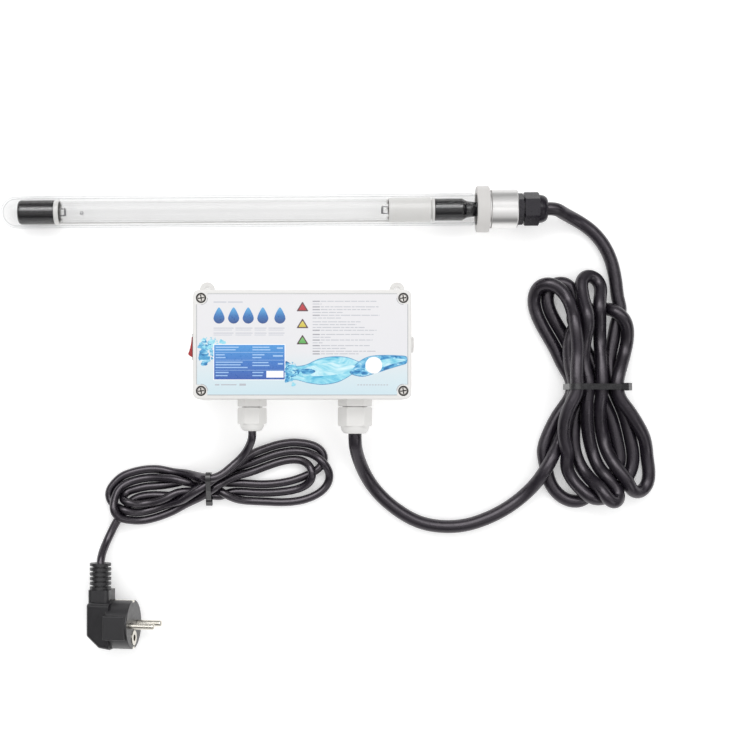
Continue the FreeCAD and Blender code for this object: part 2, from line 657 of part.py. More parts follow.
def plug_body():
    disc = xcyl(PLUG_R, -17.5, 0.0)
    disc = disc.makeFillet(0.8, circles(disc))
    # ribbed cable relief
    relief = [ycyl(6.0, 25.4, 45.4, PLUG_CABLE_X)]
    relief += [ycyl(8.1, 25.9 + 3.55 * k, 28.0 + 3.55 * k, PLUG_CABLE_X) for k in range(6)]
    # flat finger grips across the disc, one above and one below
    pads = []
    for pad in (box(-18.5, -1.4, -9.8, 8.2, 10.0, 18.9), box(-16.5, -1.4, -9.8, 8.2, -18.2, -10.0)):
        pads.append(pad.makeFillet(0.8, [
            e for e in pad.Edges
            if abs(e.tangentAt(e.FirstParameter).x) > 0.9 or abs(e.CenterOfMass.z) > 18.0]))
    body = fuse([disc, plug_grip()] + pads + relief)
    bore_r, bore_y = MAINS_CABLE_R + 0.05, PLUG_CABLE_Y - 0.02
    body = body.cut(ycyl(bore_r, bore_y, bore_y + 40.0, PLUG_CABLE_X))
    # the relief's mouth flares to let the cable bend away
    body = body.cut(Part.makeCone(bore_r, MAINS_CABLE_R + 1.9, 5.5,
                                  Vec(PLUG_CABLE_X, 41.0, 0), Vec(0, 1, 0)))
    # slots for the earth clips, holes for the pins and the earth bush
    for y0, y1 in ((16.6, 20.0), (-20.0, -16.6)):
        body = body.cut(box(-16.0, 1.0, y0, y1, -3.0, 3.0))
    for z in PIN_Z:
        body = body.cut(xcyl(PIN_ROOT_R + 0.02, SOCKET_DEPTH, 1.0, 0, z))
    return body.cut(xcyl(3.02, SOCKET_DEPTH, 1.0, EARTH_Y, 0))


def plug_pins():
    pins = []
    for z in PIN_Z:
        pin = xcyl(PIN_R, 0.25, PIN_L, 0, z)
        pin = pin.makeFillet(1.6, edges_on(pin, "x", PIN_L))
        pins.append(pin.fuse(xcyl(PIN_ROOT_R, SOCKET_DEPTH + 0.02, 1.0, 0, z)))
    return compound(pins)


def plug_earth_contacts():
    """Clips at the disc's two sides and a flanged bush in the pin face."""
    contacts = []
    for y0, y1 in ((16.65, 18.3), (-18.3, -16.65)):
        clip = box(-15.5, -0.2, y0, y1, -2.6, 2.6)
        contacts.append(clip.makeFillet(0.5, [
            e for e in edges_along(clip, "z") if abs(e.CenterOfMass.y) > 18]))
    contacts.append(fuse([tube(3.0, 2.45, SOCKET_DEPTH + 0.02, 0.3, EARTH_Y, 0),
                          tube(5.6, 2.45, 0.01, 0.45, EARTH_Y, 0)]))
    return compound(contacts)


# ---------------------------------------------------------------- cable ties
def hull2d(points):
    """Convex hull, counter-clockwise."""
    points = sorted(set((round(a, 3), round(b, 3)) for a, b in points))

    def turns_left(p, q, r):
        return (q[0] - p[0]) * (r[1] - p[1]) - (q[1] - p[1]) * (r[0] - p[0]) > 1e-9

    def half(sequence):
        chain = []
        for point in sequence:
            while len(chain) > 1 and not turns_left(chain[-2], chain[-1], point):
                chain.pop()
            chain.append(point)
        return chain
    return half(points)[:-1] + half(points[::-1])[:-1]


def offset_face(hull, r, to3d):
    """Face around a convex polygon grown by r with round corners."""
    def normal(p, q):
        dx, dy = q[0] - p[0], q[1] - p[1]
        length = math.hypot(dx, dy)
        return dy / length, -dx / length

    def grown(p, direction):
        return p[0] + direction[0] * r, p[1] + direction[1] * r

    edges = []
    for i, corner in enumerate(hull):
        following = hull[(i + 1) % len(hull)]
        before, after = normal(hull[i - 1], corner), normal(corner, following)
        mx, my = before[0] + after[0], before[1] + after[1]
        length = math.hypot(mx, my)
        arc0, arc1 = grown(corner, before), grown(corner, after)
        middle = grown(corner, (mx / length, my / length))
        if math.dist(arc0, arc1) >= 1e-4:
            edges.append(Part.Arc(to3d(*arc0), to3d(*middle), to3d(*arc1)).toShape())
        edges.append(Part.makeLine(to3d(*arc1), to3d(*grown(following, after))))
    return Part.Face(Part.Wire(Part.__sortEdges__(edges)))


def strap(path, axis, at, width, r_in, keep):
    """Flat strap round all kept strands that cross a plane, and their hull."""
    normal_i, across_i = (0, 1) if axis == "x" else (1, 0)
    hull = hull2d([(p[across_i], p[2]) for p in path
                   if abs(p[normal_i] - at) < width / 2.0 + 2.6 and keep(p)])
    near = at - width / 2.0
    if axis == "x":
        to3d, along = (lambda a, b: Vec(near, a, b)), Vec(width, 0, 0)
    else:
        to3d, along = (lambda a, b: Vec(a, near, b)), Vec(0, width, 0)
    outer = offset_face(hull, r_in + TIE_T, to3d).extrude(along)
    return outer.cut(offset_face(hull, r_in, to3d).extrude(along)), hull


def lamp_cable_tie(path):
    """Strap with its lock head at the bundle's upper right."""
    at, r_in, a = -30.3, LAMP_CABLE_R + TIE_GAP, math.radians(35)
    band, hull = strap(path, "y", at, 4.4, r_in, lambda p: p[0] > 180)
    right = max(x for x, _ in hull)
    x, z = [p for p in hull if p[0] > right - 0.01][-1]
    lock = Part.makeBox(6.2, 5.8, 5.0, Vec(0, -2.9, 0))
    lock = lock.makeFillet(0.8, edges_along(lock, "z"))
    lock.rotate(Vec(0, 0, 0), Vec(0, 1, 0), 55)
    lock.translate(Vec(x + (r_in + 0.25) * math.cos(a) - 3.1 * math.sin(a), at,
                       z + (r_in + 0.25) * math.sin(a) + 3.1 * math.cos(a)))
    return fuse([band, lock])


def mains_cable_tie(path):
    """Strap with its lock head on the bundle's -Y side."""
    at, r_in, a = -70.7, MAINS_CABLE_R + TIE_GAP, math.radians(40)
    band, hull = strap(path, "x", at, 3.6, r_in, lambda p: -125 < p[1] < -85)
    low = min(y for y, _ in hull)
    y, z = [p for p in hull if p[0] < low + 0.01][-1]
    lock = Part.makeBox(5.0, 5.2, 4.2, Vec(-2.5, -2.6, 0))
    lock = lock.makeFillet(0.7, edges_along(lock, "z"))
    lock.rotate(Vec(0, 0, 0), Vec(1, 0, 0), 50)
    lock.translate(Vec(at, y - (r_in + 0.2) * math.cos(a), z + (r_in + 0.2) * math.sin(a)))
    return fuse([band, lock])


# --------------------------------------------------------------------- cables
# Centre lines of the two coiled leads as they lie tied up on the floor, without
# their end points. Entries are "x y z"; "x y" alone is a point on the floor.
LAMP_LEAD = """
186 103.95 18.25, 189 103.96 18.3, 191.88 103.55 17.51, 194.36 102.74 16,
196.66 101.83 14.22, 198.93 100.91 12.45, 201.29 99.96 10.75, 203.7 98.97 9.22, 206.21 97.9 7.87,
208.75 96.72 6.76, 211.33 95.39 5.92, 213.89 93.91 5.39, 216.4 92.27 5.12, 218.8 90.48,
221.09 88.53, 223.24 86.45, 225.27 84.24, 227.16 81.92, 228.93 79.5,
230.55 76.98, 232.03 74.37, 233.35 71.68, 234.53 68.92, 235.56 66.1,
236.46 63.23, 237.24 60.33, 237.91 57.4, 238.48 54.45, 238.97 51.49,
239.38 48.51, 239.73 45.52, 240.06 42.53, 240.45 39.53, 240.97 36.57,
241.66 33.63, 242.36 30.7, 242.56 27.68, 241.94 24.73, 240.94 21.88,
240.02 19.02, 239.29 16.09, 238.69 13.15, 238.16 10.19, 237.65 7.24,
237.11 4.29 5.06, 236.53 1.35 5.07, 235.93 -1.57 5.09, 235.34 -4.5 5.14, 234.84 -7.44 5.21,
234.52 -10.4 5.33, 234.49 -13.36 5.51, 234.79 -16.31 5.74, 235.35 -19.21 6, 235.89 -22.12 6.28,
236.34 -25.03 6.51, 236.77 -27.97 6.66, 237.27 -30.87 6.7, 238.08 -33.72 6.62, 239.15 -36.45 6.45,
240.38 -39.15 6.22, 241.65 -41.84 5.97, 242.89 -44.56 5.72, 244.08 -47.31 5.51, 245.21 -50.09 5.34,
246.25 -52.92 5.22, 247.13 -55.8 5.14, 247.9 -58.72 5.1, 248.63 -61.64 5.07, 249.31 -64.59 5.06,
249.96 -67.54, 250.58 -70.52, 251.15 -73.48, 251.68 -76.49, 252.09 -79.49,
252.33 -82.54, 252.3 -85.57, 252.06 -88.64, 251.39 -91.6, 250.39 -94.52,
249.14 -97.3, 247.55 -99.96, 245.78 -102.45, 243.84 -104.9, 241.86 -107.24,
239.63 -109.45 5.13, 237.17 -111.27 5.48, 234.62 -112.78 6.57, 232.29 -113.84 8.29,
229.87 -114.58 10.21, 227.37 -115.02 11.98, 224.63 -115.19 13.56, 221.76 -114.94 14.67,
218.84 -113.95 15.3, 216.21 -112.35 15.21, 213.84 -110.38 14.59, 211.7 -108.32 13.8,
209.62 -106.14 12.95, 207.67 -103.91 12.17, 205.8 -101.5 11.54, 204.13 -98.96 11.16,
202.67 -96.23 11.12, 201.52 -93.43 11.5, 200.71 -90.54 12.31, 200.31 -87.76 13.51,
200.27 -85.03 15.04, 200.42 -82.43 16.68, 200.15 -79.67 18.15, 199.43 -76.83 19.11,
198.55 -73.87 19.72, 197.81 -70.93 20.17, 197.28 -67.88 20.67, 196.98 -64.89 21.27,
196.93 -61.85 21.98, 197.09 -58.88 22.74, 197.48 -55.88 23.53, 198.07 -52.98 24.29,
198.87 -50.05 25.06, 199.82 -47.23 25.78, 200.99 -44.4 26.39, 202.31 -41.67 26.85,
203.74 -38.91 27.18, 204.94 -36.11 27.39, 205.72 -33.11 27.51, 205.96 -30.08 27.5,
205.8 -27 27.38, 205.66 -23.97 27.2, 205.63 -20.91 26.92, 205.73 -17.91 26.5, 205.91 -14.9 25.98,
206.12 -11.91 25.49, 206.33 -8.88 25.11, 206.47 -5.87 24.93, 206.5 -2.81 24.97, 206.39 0.2 25.22,
206.15 3.23 25.59, 205.83 6.22 25.92, 205.44 9.25 26.12, 205.07 12.26 26.1, 204.74 15.29 25.83,
204.47 18.27 25.3, 204.11 21.19 24.41, 203.8 23.8 22.9, 203.42 26.35 21.23, 202.98 28.9 19.63,
202.41 31.54 18.2, 201.51 34.18 17.03, 200.25 36.81 16.17, 198.67 39.33 15.65, 196.78 41.69 15.44,
194.63 43.79 15.46, 192.18 45.57 15.53, 189.47 46.88 15.4, 186.6 47.54 14.76, 183.84 47.47 13.55,
181.38 46.61 12.02, 179.44 45.02 10.35, 178.04 42.85 8.77, 177.19 40.29 7.42, 176.79 37.48 6.37,
176.83 34.55 5.65, 177.21 31.57 5.24, 177.85 28.63 5.07, 178.76 25.74, 179.89 22.95,
181.14 20.18, 182.47 17.47, 183.9 14.8, 185.39 12.17, 186.94 9.56,
188.49 6.96, 190.03 4.33 5.06, 191.51 1.7 5.07, 192.94 -1 5.09, 194.28 -3.72 5.13,
195.57 -6.5 5.19, 196.86 -9.25 5.3, 198.2 -12.02 5.45, 199.57 -14.74 5.64, 201.08 -17.44 5.86,
202.71 -20.04 6.08, 204.1 -22.75 6.33, 205.11 -25.56 6.54, 205.66 -28.44 6.67, 205.84 -31.39 6.69,
205.43 -34.28 6.59, 204.52 -37.1 6.39, 203.23 -39.78 6.16, 201.64 -42.35 5.92, 199.91 -44.83 5.7,
198.16 -47.28 5.51, 196.43 -49.79 5.36, 194.78 -52.32 5.24, 193.23 -54.95 5.16, 191.79 -57.62 5.11,
190.44 -60.37 5.08, 189.14 -63.12 5.06, 187.89 -65.93 5.06, 186.72 -68.73,
185.65 -71.63, 184.83 -74.57, 184.18 -77.59, 184.04 -80.63, 184.39 -83.68,
184.93 -86.66, 185.58 -89.65, 186.24 -92.6, 186.92 -95.57, 187.61 -98.5,
188.5 -101.4, 189.67 -104.17, 191.16 -106.79, 192.93 -109.21, 194.96 -111.43,
197.24 -113.38, 199.74 -115.02, 202.46 -116.27, 205.34 -117.08, 208.31 -117.37,
211.27 -117.09, 214.11 -116.16, 216.62 -114.6, 218.78 -112.54, 220.92 -110.48, 223.13 -108.49,
225.45 -106.65, 227.88 -104.94, 230.37 -103.36, 232.76 -101.6, 234.82 -99.52,
236.72 -97.25, 238.43 -94.87, 239.96 -92.34, 241.14 -89.67, 241.79 -86.79,
241.98 -83.89, 241.76 -80.94, 241.36 -78.07, 240.85 -75.16, 240.29 -72.31,
239.69 -69.43, 239.06 -66.6, 238.4 -63.73 5.06, 237.69 -60.93 5.08, 236.94 -58.09 5.1,
236.09 -55.34 5.15, 235.07 -52.59 5.23, 233.95 -49.94 5.35, 232.75 -47.26 5.51, 231.53 -44.64 5.71,
230.3 -41.97 5.95, 229.12 -39.33 6.2, 228.04 -36.6 6.43, 227.25 -33.82 6.61, 226.74 -30.92 6.7,
226.34 -28.05 6.66, 225.92 -25.14 6.52, 225.39 -22.27 6.29, 224.83 -19.38 6.02, 223.89 -16.6 5.77,
222.63 -13.92 5.55, 221.38 -11.24 5.38, 220.05 -8.58 5.25, 218.55 -6.03 5.17, 217.11 -3.42 5.12,
215.79 -0.77 5.08, 214.53 1.94 5.07, 213.43 4.7 5.06, 212.48 7.53, 211.51 10.35,
210.38 13.12, 209.01 15.8, 207.59 18.44, 206.66 21.32, 206.61 24.33,
207.07 27.32, 207.86 30.22, 208.35 33.19, 208.32 36.19, 207.77 39.14, 206.76 41.96,
205.29 44.56, 203.28 46.78, 200.73 48.3, 197.83 48.97, 194.9 48.73,
192.16 47.58, 189.92 45.67, 188.33 43.14, 187.46 40.3, 187.15 37.33,
187.31 34.35, 187.91 31.42, 188.82 28.57, 189.95 25.8, 191.27 23.11,
192.68 20.47, 194.16 17.86, 195.69 15.27, 197.23 12.69, 198.75 10.1,
200.22 7.47, 201.62 4.8 5.06, 202.97 2.09 5.07, 204.27 -0.63 5.08, 205.55 -3.39 5.12,
206.83 -6.13 5.18, 208.19 -8.87 5.27, 209.67 -11.52 5.4, 211.25 -14.18 5.57, 212.62 -16.9 5.8,
213.95 -19.73 6.05, 214.94 -22.62 6.32, 215.54 -25.72 6.55, 215.95 -28.78 6.68, 216.16 -31.94 6.68,
215.78 -35 6.55, 215.1 -38.08 6.31, 214.14 -40.99 6.04, 212.81 -43.8 5.78, 211.31 -46.46 5.57,
210 -49.27 5.38, 209.03 -52.15 5.25, 208.32 -55.15 5.16, 207.82 -58.14 5.1, 207.48 -61.19 5.07,
207.25 -64.21 5.06, 207.13 -67.27, 207.14 -70.3, 207.3 -73.36, 207.64 -76.37,
208.19 -79.38 5.07, 208.94 -82.32 5.18, 209.9 -85.23 5.46, 211.02 -88.02 5.96, 212.32 -90.72 6.72,
213.72 -93.23 7.75, 215.22 -95.63 9.06, 216.73 -97.81 10.6, 218.28 -99.86 12.42,
219.78 -101.68 14.39, 221.36 -103.38 16.54, 223.01 -104.99 18.58, 224.83 -106.81 20.43,
226.37 -109.02 21.9, 227.73 -111.63 22.9, 229.51 -114.06 23.11, 231.7 -115.91 22.65,
234.15 -116.93 21.56, 236.36 -116.82 20.09, 238.11 -115.5 18.38, 238.87 -113.39 16.96,
238.68 -110.71 15.93, 237.56 -108.08 15.4, 235.7 -105.73 15.25, 233.77 -103.38 15.39,
232.05 -100.9 15.37, 230.34 -98.46 14.64, 228.69 -96.34 13.22, 227.17 -94.18 11.61,
225.84 -91.91 10.07, 224.64 -89.42 8.68, 223.56 -86.8 7.54, 222.55 -84.01 6.67, 221.63 -81.16 6.13,
220.75 -78.2 5.92, 219.94 -75.27 6.05, 219.17 -72.3 6.49, 218.49 -69.4 7.18, 217.87 -66.49 8.08,
217.3 -63.67 9.11, 216.76 -60.82 10.24, 216.26 -58.03 11.4, 215.82 -55.18 12.58,
215.51 -52.35 13.71, 215.31 -49.42 14.74, 215.22 -46.48 15.58, 215.21 -43.42 16.14,
215.31 -40.39 16.5, 215.57 -37.31 16.76, 215.93 -34.29 16.97, 216.13 -31.2 17.1,
216.16 -28.15 17.1, 215.76 -25.09 16.98, 215.04 -22.13 16.76, 214.31 -19.14 16.48,
213.71 -16.17 16.2, 213.28 -13.11 15.99, 213 -10.08 15.92, 212.86 -6.98 16.03, 212.84 -3.94 16.33,
212.93 -0.86 16.82, 213.16 2.12 17.49, 213.49 5.12 18.39, 213.87 7.97 19.49, 214.29 10.83 20.8,
214.65 13.59 22.16, 214.81 16.54 23.35, 214.77 19.55 24.08, 214.45 22.73 23.96, 214.06 25.73 23.32,
213.61 28.57 21.92, 213.14 31.24 20.41, 212.64 33.99 18.87, 212.26 36.72 17.46, 211.98 39.58 16.1,
211.81 42.39 14.86, 211.74 45.28 13.62, 211.89 48.06 12.35, 212.72 50.62 10.88, 214.35 52.62 9.35,
216.6 53.83 7.94, 219.28 54.08 6.8, 221.92 53.29 6.12, 224.28 51.57 5.98, 225.98 49.22 6.4,
226.9 46.52 7.33, 226.97 43.77 8.69, 226.58 41.17 10.26, 226.08 38.56 11.92, 225.59 35.99 13.52,
225.11 33.25 14.97, 224.84 30.29 15.72, 224.85 27.16 15.71, 225.17 24.21 14.94, 225.42 21.27 13.88,
225.61 18.39 12.86, 225.74 15.42 11.94, 225.84 12.44 11.24, 225.93 9.37 10.81, 226.01 6.33 10.68,
226.09 3.24 10.88, 226.18 0.24 11.38, 226.28 -2.75 12.15, 226.37 -5.65 13.08, 226.46 -8.57 14.1,
226.45 -11.5 14.96, 226.41 -14.5 15.68, 226.35 -17.51 16.18, 226.34 -20.58 16.56,
226.4 -23.61 16.84, 226.49 -26.7 17.02, 226.49 -29.75 17.07, 226.44 -32.85 16.99,
226.24 -35.89 16.79, 225.89 -38.94 16.37, 225.63 -41.91 15.69, 225.52 -44.88 14.76,
225.57 -47.74 13.69, 225.73 -50.6 12.46, 226.01 -53.37 11.18, 226.42 -56.16 9.87, 226.92 -58.94 8.7,
227.5 -61.84 7.74, 228.13 -64.75 7.09, 228.8 -67.75 6.79, 229.49 -70.71 6.89, 230.2 -73.67 7.38,
230.98 -76.5 8.19, 231.88 -79.25 9.26, 232.9 -81.85 10.49, 234.04 -84.38 11.84, 235.26 -86.81 13.21,
236.65 -89.25 14.46, 238.25 -91.68 15.32, 240 -94.14 15.75, 241.75 -96.59 15.94,
243.64 -98.98 15.97, 245.5 -101.34 15.8, 247.11 -103.85 15.31, 248.58 -106.28 14.35,
250.3 -108.31 12.95, 252.41 -109.64 11.27, 254.8 -110.11 9.54, 257.29 -109.7 7.93,
259.64 -108.43 6.61, 261.65 -106.41 5.67, 263.1 -103.84 5.18, 263.96 -100.96, 264.34 -97.97,
264.37 -94.96, 264.17 -91.93, 263.81 -88.94, 263.37 -85.93 5.14, 262.91 -82.95 5.38,
262.5 -79.95 5.86, 262.13 -77.03 6.58, 261.55 -74.17 7.52, 260.75 -71.44 8.61, 259.72 -68.78 9.77,
258.51 -66.23 10.9, 257.11 -63.68 11.94, 255.61 -61.18 12.82, 254.01 -58.64 13.56,
252.4 -56.14 14.16, 250.74 -53.59 14.69, 249.05 -51.09 15.12, 247.27 -48.6 15.48,
245.43 -46.2 15.81, 243.49 -43.79 16.12, 241.71 -41.35 16.4, 240.17 -38.72 16.66,
238.99 -35.94 16.89, 238.25 -33.01 17.04, 238 -30.01 17.08, 238.1 -26.98 16.97, 238.56 -24.02 16.66,
239.34 -21.13 16.08, 240.28 -18.4 15.17, 241.25 -15.78 13.93, 242.2 -13.25 12.56,
243.17 -10.67 11.2, 244.09 -8.03 10.03, 244.96 -5.23 9.14, 245.73 -2.35 8.62, 246.37 0.64 8.51,
246.83 3.62 8.83, 247.08 6.6 9.51, 247.08 9.49 10.46, 246.8 12.33 11.61, 246.21 15.06 12.82,
245.23 17.73 14.01, 243.82 20.27 14.94, 241.94 22.67 15.4, 239.73 24.77 15.22, 237.38 26.52 14.23,
235.23 27.78 12.45, 233.44 28.59 10.03, 231.44 29.02 7.76, 228.81 29.17 6.12, 225.86 29.15 5.4,
222.81 28.84 5.57, 220.01 28.11 6.52, 217.67 26.95 8.16, 215.94 25.53 10.24, 214.17 23.9 12.21,
212.21 22.12 13.74, 210.02 20.22 14.85, 208.07 17.92 15.33, 206.33 15.38 15.43, 204.88 12.7 15.43,
203.7 9.86 15.42, 202.82 6.96 15.44, 202.21 3.96 15.45, 201.86 0.95 15.39, 201.74 -2.11 15.3,
201.82 -5.14 15.26, 202.05 -8.19 15.31, 202.38 -11.2 15.49, 202.81 -14.22 15.78,
203.31 -17.19 16.12, 203.92 -20.18 16.46, 204.64 -23.11 16.75, 205.4 -26.09 16.97,
205.84 -29.09 17.1, 205.79 -32.15 17.1, 205.27 -35.14 17, 204.48 -38.1 16.79, 203.69 -41.03 16.51,
202.96 -43.99 16.14, 202.3 -46.91 15.63, 201.66 -49.85 14.99, 201.05 -52.73 14.23,
200.41 -55.62 13.38, 199.75 -58.46 12.51, 199.02 -61.33 11.66, 198.23 -64.17 10.91,
197.31 -67.03 10.26, 196.26 -69.86 9.9, 195.05 -72.68 9.96, 193.72 -75.34 10.52,
192.31 -77.87 11.55, 190.98 -80.3 12.8, 189.76 -82.88 13.96, 188.44 -85.48 14.81,
186.97 -88.14 15.29, 185.44 -90.76 15.43, 183.85 -93.37 15.17, 182.31 -95.88 14.41,
180.86 -98.3 13.18, 179.41 -100.6 11.82, 177.84 -102.87 10.45, 176.18 -105.08 9.17,
174.36 -107.27 8, 172.44 -109.4 7.02, 170.35 -111.51 6.23, 168.18 -113.54 5.66, 165.88 -115.52 5.3,
163.52 -117.4 5.11, 161.08 -119.22, 158.59 -120.94, 156.05 -122.59, 153.47 -124.16,
150.83 -125.65, 148.16 -127.05, 145.44 -128.37, 142.7 -129.61, 139.91 -130.79,
137.11 -131.88, 134.27 -132.9, 131.41 -133.83, 128.51 -134.64, 125.58 -135.33,
122.63 -135.88, 119.65 -136.28, 116.65 -136.56, 113.65 -136.71, 110.65 -136.74,
107.65 -136.66, 104.65 -136.46, 101.66 -136.13, 98.7 -135.68, 95.75 -135.09,
92.85 -134.34, 89.99 -133.43, 87.18 -132.36, 84.44 -131.13, 81.77 -129.77,
79.15 -128.29, 76.59 -126.72, 74.08 -125.07, 71.62 -123.34, 69.22 -121.53,
66.87 -119.64, 64.59 -117.68, 62.37 -115.62, 60.23 -113.5, 58.15 -111.28 5.09,
56.18 -109 5.26, 54.29 -106.62 5.61, 52.53 -104.21 6.18, 50.88 -101.73 6.99, 49.38 -99.27 8,
47.97 -96.76 9.22, 46.71 -94.31 10.58, 45.53 -91.81 12.1, 44.47 -89.38 13.69, 43.47 -86.9 15.43,
42.57 -84.5 17.18, 41.72 -82.04 19.07, 41.01 -79.65 20.94, 40.41 -77.15 22.89, 39.99 -74.67 24.74,
39.67 -71.98 26.46, 39.5 -68.99 27.5, 39.5 -66 27.52, 39.5 -63 27.5
"""
